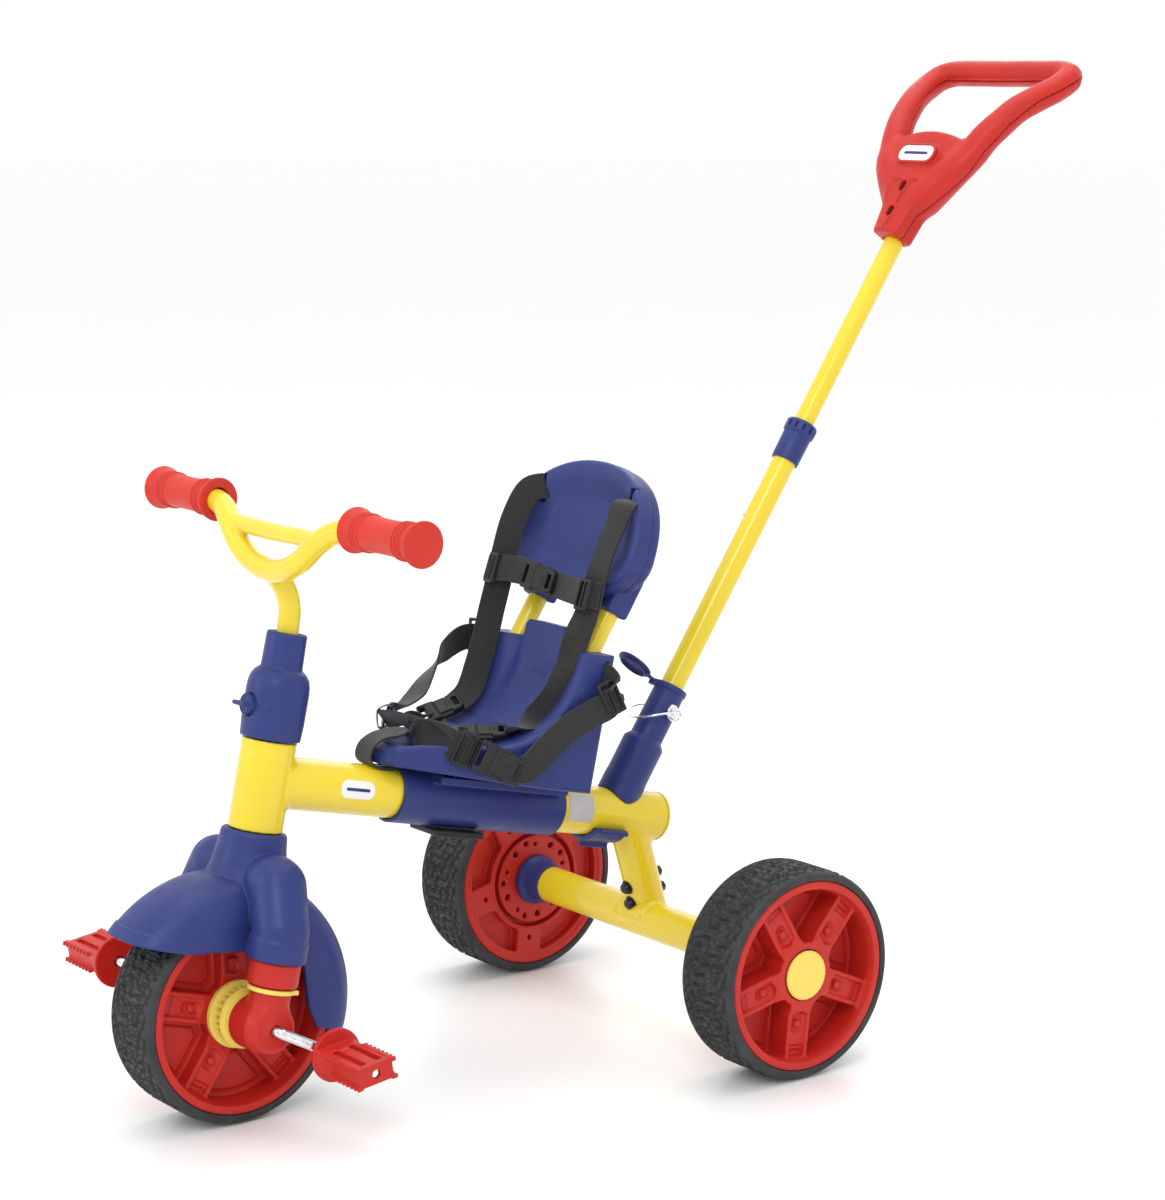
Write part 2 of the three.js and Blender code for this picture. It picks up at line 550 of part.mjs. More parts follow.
function addSeat() {
  const [rear, front] = SLEEVE_SPAN;
  const outer = BACKBONE_RADIUS + GAP + SLEEVE_THICKNESS;
  const wrap = tube(BACKBONE_RADIUS + GAP + 0.2, outer, rear, front).rotate([90, 0, 0]);
  const saddle = box([70, 150, 14], [0, -(rear + 82), 24]);
  const clear = disc(BACKBONE_RADIUS + GAP + 0.2, rear - 5, front + 5).rotate([90, 0, 0]);
  piece(backbone, "seat_sleeve", cut(join(wrap, saddle), clear), BLUE);
  piece(backbone, "clamp_plate", box([44, 56, 6], [0, -250, -outer - 3.5]), BLACK_PLASTIC);

  const pan = loft([
    [350, 36, 12, 5], [340, 40, 27, 9], [310, 44, 42, 12], [270, 45, 62, 13], [230, 44, 80, 13],
    [195, 45, 88, 14], [160, 46, 88, 14],
  ].map(([forward, middle, half, rise]) =>
    roundedRing(seatPoint(0, forward, middle), vec(half, 0, 0), vec(0, 0, rise), 20)));
  const dish = loft([
    [326, 60, 18, 12], [285, 58, 42, 17], [230, 58, 62, 19], [180, 58, 64, 19],
  ].map(([forward, middle, half, rise]) =>
    roundedRing(seatPoint(0, forward, middle), vec(half, 0, 0), vec(0, 0, rise), 20, 0.9)));
  const backOuter = loft([
    [34, 178, 88], [100, 178, 88], [140, 177, 86], [158, 176, 78],
  ].map(([up, forward, half]) =>
    roundedRing(seatPoint(0, forward, up), vec(half, 0, 0), vec(0, 24, 0), 20)));
  const backHollow = loft([
    [56, 212, 66], [100, 209, 68], [140, 206, 66], [170, 204, 60],
  ].map(([up, forward, half]) =>
    roundedRing(seatPoint(0, forward, up), vec(half, 0, 0), vec(0, 30, 0), 20, 0.8)));
  const tab = box([66, 15, 46], [0, -167, 152]);
  const posts = [-POST_OFFSET, POST_OFFSET].map((across) => postSolid(across, POST_RADIUS + GAP));
  const shell = cut(join(pan, backOuter, tab), dish, backHollow, ...posts);
  piece(backbone, "seat_shell", shell, BLUE);

  for (const [side, sign] of [["left", 1], ["right", -1]]) {
    piece(backbone, `headrest_post_${side}`, postSolid(sign * POST_OFFSET, POST_RADIUS), YELLOW);
  }
}

const POST_LINE = vec(0, Math.sin(POST_LEAN), Math.cos(POST_LEAN));

/** A headrest post, from inside the seat back to inside the headrest. */
function postSolid(across, radius) {
  const spare = radius - POST_RADIUS;
  const onPost = (reach) => vec(across, -161.3, 161.5).addScaledVector(POST_LINE, reach).toArray();
  return rod(onPost(-60 - spare), onPost(92 + spare), radius, 20);
}

function addHeadrest() {
  const sides = 22;
  const halfWidth = 100;
  /** Outline of the headrest: round above, drawn in below to a straight edge. */
  const outline = (scale, forward, forwardAtWing) => Array.from({ length: sides }, (_, i) => {
    const angle = (2 * Math.PI * i) / sides;
    const across = halfWidth * scale * Math.cos(angle);
    const sine = Math.sin(angle);
    const up = 252 + (sine > 0 ? 84 * scale * sine : 46 * scale * sine);
    const wing = (across / halfWidth) ** 2;
    return seatPoint(across, forward + forwardAtWing * wing - (up - 252) * 0.1, up);
  });
  const shell = loft([outline(0.9, 125, 4), outline(1, 131, 6), outline(1, 158, 9), outline(0.94, 166, 10)]);
  const hollow = loft([outline(0.45, 150, 2), outline(0.72, 159, 6), outline(0.86, 175, 12)]);
  const lugs = [-POST_OFFSET, POST_OFFSET].map((across) => {
    const onPost = (reach) => vec(across, -149.8, 192.3).addScaledVector(POST_LINE, reach).toArray();
    return rod(onPost(4), onPost(50), 14, 20);
  });
  const posts = [-POST_OFFSET, POST_OFFSET].map((across) => postSolid(across, POST_RADIUS + GAP));
  piece(backbone, "headrest", cut(join(shell, ...lugs), hollow, ...posts), BLUE);
}

// ---- Push handle ----
/** A direction square to the handle, turned about it; zero faces forward. */
const round = (turn, radius, height) => [radius * Math.sin(turn), -radius * Math.cos(turn), height];

const lockPinHole = () => alongX(disc(3.2, -30, 30, SIDES.rod)).translate([0, 0, PIN_HEIGHT]);

function addSocket() {
  const [wide, narrow] = SOCKET_RADII;
  const body = solid(turned([
    [0, 10], [wide, 10], [wide, SOCKET_STEP - 2], [wide - 1.5, SOCKET_STEP], [narrow, SOCKET_STEP + 3],
    [narrow, SOCKET_TOP], [0, SOCKET_TOP],
  ]));
  const bore = disc(LOWER_TUBE_RADIUS + GAP, 34, SOCKET_TOP + 5);
  const beam = disc(BACKBONE_RADIUS + GAP + 0.1, -200, 200).rotate([90, 0, 0]);
  const beamHere = beam.rotate([degrees(HANDLE_TILT - BACKBONE_TILT), 0, 0]);
  piece(pushHandle, "handle_socket", cut(body, bore, beamHere, lockPinHole()), BLUE);

  const saddle = tube(BACKBONE_RADIUS + GAP + 0.1, BACKBONE_RADIUS + 6, 52, 92).rotate([90, 0, 0]);
  const lowerPart = box([70, 60, 22], [0, -72, -25]);
  piece(backbone, "socket_saddle", saddle.intersect(lowerPart), BLUE);

  const shank = join(disc(2.8, -21, 21, SIDES.rod), disc(6.2, 16.6, 19.2, 20), disc(4, 19, 22.5, SIDES.rod));
  piece(pushHandle, "lock_pin", alongX(shank).translate([0, 0, PIN_HEIGHT]), STEEL);

  const wire = 1.1;
  const loop = [
    [23.6, 4, 117], [25.5, -6, 112], [22, -18, 103], [11, -25, 95], [0, -27, 92], [-11, -25, 95],
    [-20, -18, 103], [-23.6, -6, 112], [-23.2, 4, PIN_HEIGHT],
  ];
  piece(pushHandle, "pin_bail", sweptTube(loop, wire, 30, 6), STEEL);

  const lid = disc(18.5, 0, 3.2);
  const tether = box([8, 10, 2.4], [0, -3.5, 1.4]);
  const hinge = [-7.5, -SOCKET_RADII[1] - 3.2, SOCKET_TOP - 4];
  const open = join(lid.translate([0, -24, 0]), tether);
  piece(pushHandle, "socket_cap", open.rotate([0, 0, -26]).rotate([-12, 0, 0]).translate(hinge), BLUE);
}

function addTubes() {
  const holes = (radius) => [-1, 0, 1].map((step) => {
    const height = BUTTON_HEIGHT + step * HOLE_PITCH;
    return rod([0, 0, height], round(HOLE_TURN, 30, height), radius);
  });
  const lower = tube(UPPER_TUBE_RADIUS + GAP, LOWER_TUBE_RADIUS, ...LOWER_TUBE_SPAN);
  piece(pushHandle, "handle_lower_tube", cut(lower, ...holes(3.2), lockPinHole()), YELLOW);
  const upper = tube(UPPER_TUBE_RADIUS - TUBE_WALL, UPPER_TUBE_RADIUS, ...UPPER_TUBE_SPAN);
  const screwHoles = SCREW_HEIGHTS.map((height) => rod([0, -30, height], [0, 30, height], 2.4));
  piece(pushHandle, "handle_upper_tube", cut(upper, ...holes(3.4), ...screwHoles), YELLOW);
  const buttonEnds = [LOWER_TUBE_RADIUS - 0.1, BUTTON_TOP];
  const button = rod(...buttonEnds.map((radius) => round(HOLE_TURN, radius, BUTTON_HEIGHT)), 2.7);
  piece(pushHandle, "snap_button", button, STEEL);

  const [innerBore, outerBore] = [UPPER_TUBE_RADIUS + GAP, LOWER_TUBE_RADIUS + GAP];
  const tubeEnd = LOWER_TUBE_SPAN[1] + GAP;
  const collar = solid(turned([
    [innerBore, tubeEnd], [outerBore, tubeEnd], [outerBore, COLLAR_LOW], [14.3, COLLAR_LOW], [14.3, 428],
    [16.2, 429], [16.2, COLLAR_HIGH - 1], [15.4, COLLAR_HIGH], [innerBore, COLLAR_HIGH], [innerBore, tubeEnd],
  ]));
  piece(pushHandle, "tube_collar", collar, BLUE);
}

/** Centre line of the left arm of the handle's loop: [across, back, height]. */
const ARM = [
  [20, -4, 704], [40, -8, 728], [57, -8, 758], [72, -4, 797], [86, 7, 832], [95, 23, 858], [95, 36, 878],
  [70, 38, 884], [35, 38, 885], [0, 38, 885],
];

function addHandle() {
  const hub = loft([
    [HUB_LOW, -6, 19, 20], [700, -6, 24, 20], [735, -6, 40, 20], [760, -6, 50, 17], [774, -6, 48, 14],
  ].map(([height, back, half, depth]) =>
    roundedRing(vec(0, back, height), vec(half, 0, 0), vec(0, depth, 0), 20, 0.75)));
  const mirrored = ARM.slice(0, -1).map(([x, y, z]) => [-x, y, z]);
  const loop = sweptTube([...ARM, ...mirrored.reverse()], 14, 34, 10);
  const whole = cut(join(hub, loop), disc(UPPER_TUBE_RADIUS + GAP, HUB_LOW - 5, UPPER_TUBE_SPAN[1] + 2));
  const backHalf = (offset) => sidePrism([
    [-6, 600], [-6, 735], [-8, 760], [-4, 797], [7, 832], [23, 858], [37, 880], [55, 915],
    [300, 915], [300, 600],
  ].map(([back, height]) => [back + offset, height]), -300, 300);
  const screws = SCREW_HEIGHTS.map((height) => rod([0, -40, height], [0, 20, height], 2.6));
  const heads = SCREW_HEIGHTS.map((height) => rod([0, -40, height], [0, -17, height], 5));
  const front = cut(whole, backHalf(-GAP / 2), ...screws, ...heads);
  const back = cut(whole.intersect(backHalf(GAP / 2)), ...screws);
  piece(pushHandle, "handle_shell_front", front, RED);
  piece(pushHandle, "handle_shell_back", back, RED);
  SCREW_HEIGHTS.forEach((height, i) => {
    const alongScrew = (to, radius) => rod([0, -22, height], [0, to, height], radius);
    const screw = join(alongScrew(8, 2), alongScrew(-17.4, 4.2));
    piece(pushHandle, `handle_screw_${["lower", "upper"][i]}`, screw, STEEL);
  });
}

// ---- Harness ----
/** Straps as [across, -forward, up] points, each with the direction of the strap's width. */
const STRAPS = {
  shoulder_strap_left: [
    [[75, -184, 306], [1, 0.3, 0]], [[72, -185, 275], [1, 0.3, 0]], [[66, -186, 245], [1, 0.3, 0]],
    [[61, -186, 216], [1, 0.2, 0]], [[61, -190, 192], [1, 0, 0]], [[62, -206, 168], [1, 0, 0]],
    [[60, -214, 144], [1, 0, 0.1]], [[54, -222, 113], [1, 0, 0.2]], [[46, -229, 94], [1, 0.1, 0.2]],
    [[42, -231, 84], [1, 0.2, 0.2]],
  ],
  shoulder_strap_right: [
    [[-75, -176, 306], [1, -0.3, 0]], [[-73, -184, 266], [1, -0.3, 0]], [[-70, -190, 231], [1, -0.3, 0]],
    [[-68, -197, 201], [1, 0, 0]], [[-68, -204, 176], [1, 0, 0]], [[-69, -208, 147], [1, 0, 0]],
    [[-66, -212, 122], [1, 0, -0.2]], [[-60, -222, 95], [1, 0, -0.4]], [[-52, -232, 80], [1, 0, -0.4]],
  ],
  chest_belt: [
    [[-62, -200, 221], [0, 0, 1]], [[-35, -196, 222], [0, 0, 1]], [[0, -190, 219], [0, 0, 1]],
    [[30, -190, 216], [0, 0, 1]], [[52, -193, 216], [0, 0, 1]],
  ],
  lap_strap_left: [
    [[97, -170, 140], [0, 0.4, 1]], [[104, -180, 122], [0, 0.4, 1]], [[103, -196, 106], [0, 0.2, 1]],
    [[98, -208, 92], [0.2, 0, 1]], [[89, -216, 80], [0.5, 0, 1]], [[77, -226, 73], [0.8, 0, 1]],
    [[66, -232, 70], [0.4, 1, 0.4]],
  ],
  lap_strap_right: [
    [[-94, -186, 146], [0, 0.4, 1]], [[-101, -200, 140], [0, 0.4, 1]], [[-101, -220, 124], [0, 0.3, 1]],
    [[-96, -240, 102], [0.2, 0, 1]], [[-84, -262, 84], [0.5, 0, 1]], [[-66, -284, 74], [0.8, 0, 1]],
    [[-50, -298, 70], [0.8, 0, 1]],
  ],
  crotch_strap: [
    [[0, -352, 27.5], [1, 0, 0]], [[0, -358, 30], [1, 0, 0]], [[0, -362, 38], [1, 0, 0]],
    [[0, -354, 52], [1, 0, 0]], [[0, -332, 62], [1, 0, 0]], [[3, -310, 66], [1, 0.1, 0]],
    [[7, -290, 66], [1, 0.2, 0]], [[12, -276, 66], [1, 0.3, 0]],
  ],
};

function addHarness() {
  for (const [name, route] of Object.entries(STRAPS)) piece(backbone, name, strap(route), WEBBING);
  const buckle = box([50, 30, 12], [32, -253, 70]);
  piece(backbone, "main_buckle", buckle, BLACK_PLASTIC);
}

addMainFrame();
addRearAxle();
addRearWheels();
addFrontWheel();
addCrank();
addFork();
addDriveHousings();
addHandlebar();
addSeat();
addHeadrest();
addSocket();
addTubes();
addHandle();
addHarness();

export default tricycle;
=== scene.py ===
import json
import math

import bpy
import numpy as np
from mathutils import Matrix, Vector


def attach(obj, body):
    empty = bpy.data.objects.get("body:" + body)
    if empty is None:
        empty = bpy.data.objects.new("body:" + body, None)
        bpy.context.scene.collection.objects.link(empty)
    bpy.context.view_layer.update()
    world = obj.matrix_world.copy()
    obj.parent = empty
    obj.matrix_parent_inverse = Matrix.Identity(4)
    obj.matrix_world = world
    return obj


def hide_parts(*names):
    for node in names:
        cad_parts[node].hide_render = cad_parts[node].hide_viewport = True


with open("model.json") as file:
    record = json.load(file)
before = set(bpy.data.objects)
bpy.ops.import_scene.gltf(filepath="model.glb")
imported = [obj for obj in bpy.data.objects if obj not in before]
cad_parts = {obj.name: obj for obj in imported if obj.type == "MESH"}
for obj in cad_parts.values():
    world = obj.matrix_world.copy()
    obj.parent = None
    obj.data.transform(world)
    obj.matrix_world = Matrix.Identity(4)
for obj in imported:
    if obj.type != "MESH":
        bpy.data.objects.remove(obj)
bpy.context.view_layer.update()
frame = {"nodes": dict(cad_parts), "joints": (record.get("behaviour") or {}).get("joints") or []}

MM = 0.001
TAU = 2 * math.pi
FINE = 1.0

# ---- Places, from the frame ----
JOINTS = {joint["name"]: joint for joint in frame["joints"]}


def joint_place(name):
    """A joint's point in millimetres."""
    return Vector(JOINTS[name]["pos_m"]) / MM


def tilt_of(axis):
    """The angle between vertical and an axis that leans backwards."""
    return math.atan2(axis[1], axis[2])


FRONT_AXLE = joint_place("front_wheel_spin")
REAR_AXLE = Vector((0, joint_place("rear_wheel_left_spin").y, FRONT_AXLE.z))
REAR_WHEEL_X = joint_place("rear_wheel_left_spin").x
HEAD_TILT = tilt_of(JOINTS["steering_turn"]["axis"])
HANDLE_TILT = tilt_of(JOINTS["handle_length"]["axis"])
BEAM_AXIS = JOINTS["seat_slide"]["axis"]
BEAM_TILT = math.atan2(BEAM_AXIS[2], -BEAM_AXIS[1])
BEAM_REAR = REAR_AXLE + Vector((0, 14.9, 101))
HANDLE_FOOT = REAR_AXLE + Vector((0, -43, 114.1))


def shift(x, y, z):
    return Matrix.Translation((x, y, z))


def spun(degrees, axis):
    return Matrix.Rotation(math.radians(degrees), 4, axis)


def place(origin, tilt=0.0):
    """A frame at a point, leaning backwards by an angle."""
    return Matrix.Translation(origin) @ Matrix.Rotation(-tilt, 4, "X")


FRONT = place(FRONT_AXLE)
STEERING = place(FRONT_AXLE, HEAD_TILT)
REAR = place(REAR_AXLE)
BEAM = place(BEAM_REAR, BEAM_TILT)
PUSH = place(HANDLE_FOOT, HANDLE_TILT)

# ---- Sizes that the pieces share with the frame ----
GAP = 0.4
WHEEL_RADIUS = 100
TYRE_HALF = 34.5
RIM_RADIUS = 90
TUBE_RADIUS = 24


# ---- Solids as distance fields: functions of an array of points, negative inside ----
def norm2(x, y):
    return np.sqrt(x * x + y * y)


def half_space(normal, offset):
    """Everything behind a plane."""
    n = np.array(normal, float)
    n /= np.linalg.norm(n)
    return lambda p: p @ n - offset


def pipe(points, radius):
    """A round bar through points, as a distance field."""
    nodes = np.array(points, float)

    def field(p):
        nearest = np.full(len(p), 1e12)
        for a, b in zip(nodes[:-1], nodes[1:]):
            line = b - a
            t = np.clip((p - a) @ line / (line @ line), 0, 1)
            away = p - a - t[:, None] * line
            nearest = np.minimum(nearest, (away * away).sum(1))
        return np.sqrt(nearest) - radius

    return field


def polygon(points):
    """Signed distance to a closed outline in a plane."""
    corners = [(float(x), float(y)) for x, y in points]

    def field(x, y):
        nearest = np.full(x.shape, 1e12)
        inside = np.zeros(x.shape, bool)
        for (x0, y0), (x1, y1) in zip(corners, corners[1:] + corners[:1]):
            ex, ey = x1 - x0, y1 - y0
            wx, wy = x - x0, y - y0
            t = np.clip((wx * ex + wy * ey) / (ex * ex + ey * ey), 0, 1)
            nearest = np.minimum(nearest, (wx - ex * t) ** 2 + (wy - ey * t) ** 2)
            if ey:
                crosses = (y0 <= y) != (y1 <= y)
                inside ^= crosses & (x < wy * ex / ey + x0)
        return np.where(inside, -1, 1) * np.sqrt(nearest)

    return field


def corner(d, h, edge):
    """The common part of two distances, its corner rounded."""
    d, h = d + edge, h + edge
    return np.minimum(np.maximum(d, h), 0) + norm2(np.maximum(d, 0), np.maximum(h, 0)) - edge


def extruded(outline, low, high, axes=(0, 1, 2), edge=0.0):
    """An outline in the first two axes, between two heights on the third, with rounded edges."""
    flat = polygon(outline)
    a, b, c = axes
    middle, half = (low + high) / 2, (high - low) / 2
    return lambda p: corner(flat(p[:, a], p[:, b]), np.abs(p[:, c] - middle) - half, edge)


def turned(outline, axis=2, edge=0.0):
    """An outline of [radius, height] points turned round an axis."""
    flat = polygon(outline)
    a, b = [i for i in range(3) if i != axis]
    return lambda p: flat(norm2(p[:, a], p[:, b]), p[:, axis]) - edge


def rounded_box(half, edge, centre=(0, 0, 0)):
    half, centre = np.array(half, float) - edge, np.array(centre, float)

    def field(p):
        q = np.abs(p - centre) - half
        outside = np.maximum(q, 0)
        return np.sqrt((outside * outside).sum(1)) + np.minimum(q.max(1), 0) - edge

    return field


def cylinder(radius, low, high, axis=2, edge=0.0):
    a, b = [i for i in range(3) if i != axis]
    middle, half = (low + high) / 2, (high - low) / 2
    return lambda p: corner(norm2(p[:, a], p[:, b]) - radius, np.abs(p[:, axis] - middle) - half, edge)


def moved(shape, matrix):
    """A shape drawn in its own frame, placed by a matrix."""
    inverse = np.array(matrix.inverted(), float)
    return lambda p: shape(p @ inverse[:3, :3].T + inverse[:3, 3])


def union(*shapes, k=0.0):
    """Shapes joined, with a fillet of about k between them."""
    def field(p):
        total = shapes[0](p)
        for shape in shapes[1:]:
            other = shape(p)
            blend = np.maximum(k - np.abs(total - other), 0) ** 2 / (4 * k) if k else 0
            total = np.minimum(total, other) - blend
        return total

    return field


def common(*shapes, k=0.0):
    inverted = union(*[(lambda p, s=s: -s(p)) for s in shapes], k=k)
    return lambda p: -inverted(p)


def cut(shape, *tools, k=0.0):
    return common(shape, *[(lambda p, s=s: -s(p)) for s in tools], k=k)


def mirrored(shape):
    """The same shape on both sides: points on the right take the left side's distances."""
    return lambda p: shape(np.column_stack([np.abs(p[:, 0]), p[:, 1:]]))


BLOCK = 8


def surface(shape, low, high, cell):
    """The shape's surface as vertices and quads: surface nets on a grid, then pulled onto the field."""
    cell *= FINE
    low = np.array(low, float) - 2 * cell
    blocks = np.ceil((np.array(high, float) + 2 * cell - low) / (cell * BLOCK)).astype(int)
    coarse = np.stack(np.meshgrid(*[np.arange(n) for n in blocks], indexing="ij"), -1).reshape(-1, 3)
    far = shape(low + (coarse + 0.5) * BLOCK * cell)
    near = coarse[np.abs(far) < 1.35 * math.sqrt(3) / 2 * BLOCK * cell] * BLOCK
    values = np.ones(blocks * BLOCK + 1, np.float32)
    grown = np.repeat(np.repeat(np.repeat(far.reshape(blocks), BLOCK, 0), BLOCK, 1), BLOCK, 2)
    values[:-1, :-1, :-1] = np.where(grown < 0, -1, 1)
    steps = np.stack(np.meshgrid(*[np.arange(BLOCK + 1)] * 3, indexing="ij"), -1).reshape(-1, 3)
    for start in range(0, len(near), 400):
        at = (near[start:start + 400, None] + steps).reshape(-1, 3)
        values[at[:, 0], at[:, 1], at[:, 2]] = shape(low + at * cell)
    inside = values < 0
    corners = [(i, j, k) for i in (0, 1) for j in (0, 1) for k in (0, 1)]
    size = np.array(values.shape) - 1
    count = sum(inside[i:size[0] + i, j:size[1] + j, k:size[2] + k].astype(np.int8) for i, j, k in corners)
    cells = np.argwhere((count > 0) & (count < 8))
    index = np.full(size, -1, np.int32)
    index[tuple(cells.T)] = np.arange(len(cells))
    at_corner = {c: values[tuple((cells + c).T)] for c in corners}
    total, hits = np.zeros((len(cells), 3)), np.zeros(len(cells))
    for axis in range(3):
        for c in corners:
            if c[axis]:
                continue
            d = tuple(c[i] + (i == axis) for i in range(3))
            a, b = at_corner[c], at_corner[d]
            crossing = (a < 0) != (b < 0)
            share = np.where(crossing, a / np.where(crossing, a - b, 1), 0)
            point = np.array(c, float) + share[:, None] * (np.arange(3) == axis)
            total += point * crossing[:, None]
            hits += crossing
    vertices = low + (cells + total / hits[:, None]) * cell
    quads = []
    for axis in range(3):
        u, v = (axis + 1) % 3, (axis + 2) % 3
        first = np.take(inside, range(size[axis]), axis)
        second = np.take(inside, range(1, size[axis] + 1), axis)
        for flip in (False, True):
            edges = np.argwhere((first & ~second) if not flip else (second & ~first))
            edges = edges[(edges[:, u] > 0) & (edges[:, v] > 0) & (edges[:, u] < size[u]) & (edges[:, v] < size[v])]
            ring = []
            for du, dv in ((0, 0), (1, 0), (1, 1), (0, 1)):
                shifted = edges.copy()
                shifted[:, u] -= du
                shifted[:, v] -= dv
                ring.append(index[tuple(shifted.T)])
            quads.append(np.column_stack(ring[::-1] if flip else ring))
    for _ in range(2):
        step = 0.25 * cell
        slope = np.column_stack([
            (shape(vertices + step * e) - shape(vertices - step * e)) / (2 * step) for e in np.eye(3)
        ])
        scale = np.maximum((slope * slope).sum(1), 0.25)
        move = np.clip(shape(vertices), -cell, cell) / scale
        vertices = vertices - move[:, None] * slope
    return vertices, np.concatenate(quads)


# ---- Meshes ----
def fillets(outline, radius, steps=4, closed=True):
    """An outline with each corner rounded by an arc that fits it."""
    points = [np.array(p, float) for p in outline]
    made = []
    for i, point in enumerate(points):
        if not closed and i in (0, len(points) - 1):
            made.append(point)
            continue
        before, after = points[i - 1] - point, points[(i + 1) % len(points)] - point
        a, b = np.linalg.norm(before), np.linalg.norm(after)
        before, after = before / a, after / b
        bend = math.acos(max(-1, min(1, before @ after)))
        if bend > math.radians(172):
            made.append(point)
            continue
        reach = min(radius / math.tan(bend / 2), 0.45 * a, 0.45 * b)
        start, end = point + before * reach, point + after * reach
        for j in range(steps + 1):
            t = j / steps
            made.append((1 - t) ** 2 * start + 2 * t * (1 - t) * point + t * t * end)
    return made


def lathe(outline, sides=96, round_by=0.8, closed=False):
    """An outline of [radius, height] points turned round Z."""
    profile = np.array(fillets(outline, round_by, closed=closed))
    rows, turns = len(profile), np.arange(sides) * TAU / sides
    vertices = np.concatenate([
        np.column_stack([r * np.cos(turns), r * np.sin(turns), np.full(sides, z)]) for r, z in profile
    ])
    faces = []
    for i in range(rows if closed else rows - 1):
        for j in range(sides):
            a, b = i * sides + j, i * sides + (j + 1) % sides
            c, d = ((i + 1) % rows) * sides + (j + 1) % sides, ((i + 1) % rows) * sides + j
            faces.append((a, b, c, d))
    if not closed:
        faces.append(tuple(range(sides))[::-1])
        faces.append(tuple(range((rows - 1) * sides, rows * sides)))
    return vertices, faces


def smooth_path(points, spacing=2.0):
    """A Catmull-Rom curve through points, in even steps."""
    p = np.array(points, float)
    p = np.vstack([2 * p[0] - p[1], p, 2 * p[-1] - p[-2]])
    fine = []
    for i in range(1, len(p) - 2):
        a, b, c, d = p[i - 1:i + 3]
        knots = [0.0]
        for one, two in ((a, b), (b, c), (c, d)):
            knots.append(knots[-1] + max(np.linalg.norm(two - one), 1e-6) ** 0.5)
        for t in np.linspace(knots[1], knots[2], 24, endpoint=False):
            def mix(x, y, lo, hi):
                return x + (y - x) * (t - knots[lo]) / (knots[hi] - knots[lo])
            ab, bc, cd = mix(a, b, 0, 1), mix(b, c, 1, 2), mix(c, d, 2, 3)
            fine.append(mix(mix(ab, bc, 0, 2), mix(bc, cd, 1, 3), 1, 2))
    fine = np.array(fine + [p[-2]])
    run = np.concatenate([[0], np.cumsum(np.linalg.norm(np.diff(fine, axis=0), axis=1))])
    count = max(int(run[-1] / spacing), 2)
    even = np.linspace(0, run[-1], count + 1)
    return np.column_stack([np.interp(even, run, fine[:, k]) for k in range(3)])


def swept(path, section, scale):
    """A section of [across, up] points carried along a path without twist, with both ends closed."""
    tangent = np.gradient(path, axis=0)
    tangent /= np.linalg.norm(tangent, axis=1)[:, None]
    first = np.array((1, 0, 0) if abs(tangent[0][0]) < 0.9 else (0, 1, 0), float)
    section = np.array(section, float)
    rings = []
    for i, t in enumerate(tangent):
        first = first - (first @ t) * t
        first /= np.linalg.norm(first)
        rings.append(path[i] + (section[:, :1] * first + section[:, 1:] * np.cross(t, first)) * scale[i])
    return np.concatenate(rings), tube_faces(len(path), len(section))


def tube_faces(rings, n):
    """The faces of a tube made of rings of n points, with both ends closed."""
    faces = [
        (i * n + j, i * n + (j + 1) % n, (i + 1) * n + (j + 1) % n, (i + 1) * n + j)
        for i in range(rings - 1) for j in range(n)
    ]
    return faces + [tuple(range(n))[::-1], tuple(range((rings - 1) * n, rings * n))]


def circle(radius, sides):
    return [(radius * math.cos(TAU * i / sides), radius * math.sin(TAU * i / sides)) for i in range(sides)]


def rod(points, radius, spacing=2.0, sides=24):
    """A round bar along points, its end edges eased."""
    path = smooth_path(points, spacing) if len(points) > 2 else np.linspace(points[0], points[1], 3)
    start, end = path[0] - path[1], path[-1] - path[-2]
    ease = min(radius * 0.12, 0.8)
    ends = [path[0] + start / np.linalg.norm(start) * ease, path[-1] + end / np.linalg.norm(end) * ease]
    path = np.vstack([ends[0], path, ends[1]])
    scale = [1 - ease / radius] + [1] * (len(path) - 2) + [1 - ease / radius]
    return swept(path, circle(radius, sides), scale)


def joined(*parts):
    """Several meshes as one."""
    vertices, faces, start = [], [], 0
    for v, f in parts:
        vertices.append(np.asarray(v, float))
        faces += [tuple(int(i) + start for i in face) for face in f]
        start += len(v)
    return np.concatenate(vertices), faces


def transformed(mesh, matrix):
    m = np.array(matrix, float)
    vertices, faces = mesh
    made = np.asarray(vertices, float) @ m[:3, :3].T + m[:3, 3]
    if np.linalg.det(m[:3, :3]) < 0:
        faces = [tuple(face)[::-1] for face in faces]
    return made, faces


ALONG_X = Matrix(((0, 0, 1, 0), (1, 0, 0, 0), (0, 1, 0, 0), (0, 0, 0, 1)))  # turns Z into X
FLIP_X = Matrix.Diagonal((-1, 1, 1, 1))
SIDES = (("left", 1, Matrix()), ("right", -1, FLIP_X))


def piece(name, mesh, where, body, material, *nodes, slot=None, sharp=32):
    """Makes an object from a mesh drawn in a frame, and hangs it on its CAD body."""
    vertices, faces = transformed(mesh, Matrix.Scale(MM, 4) @ where)
    data = bpy.data.meshes.new(name)
    data.from_pydata(vertices.tolist(), [], [tuple(int(i) for i in face) for face in faces])
    data.validate()
    data.polygons.foreach_set("use_smooth", [True] * len(data.polygons))
    if sharp:
        data.set_sharp_from_angle(angle=math.radians(sharp))
    data.update()
    thing = bpy.data.objects.new(name, data)
    bpy.context.scene.collection.objects.link(thing)
    data.materials.append(material)
    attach(thing, body)
    if nodes:
        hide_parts(*nodes)
    return thing


def moulded(name, shape, low, high, cell, where, body, material, *nodes):
    """A piece whose surface is that of a distance field."""
    return piece(name, surface(shape, low, high, cell), where, body, material, *nodes, sharp=0)


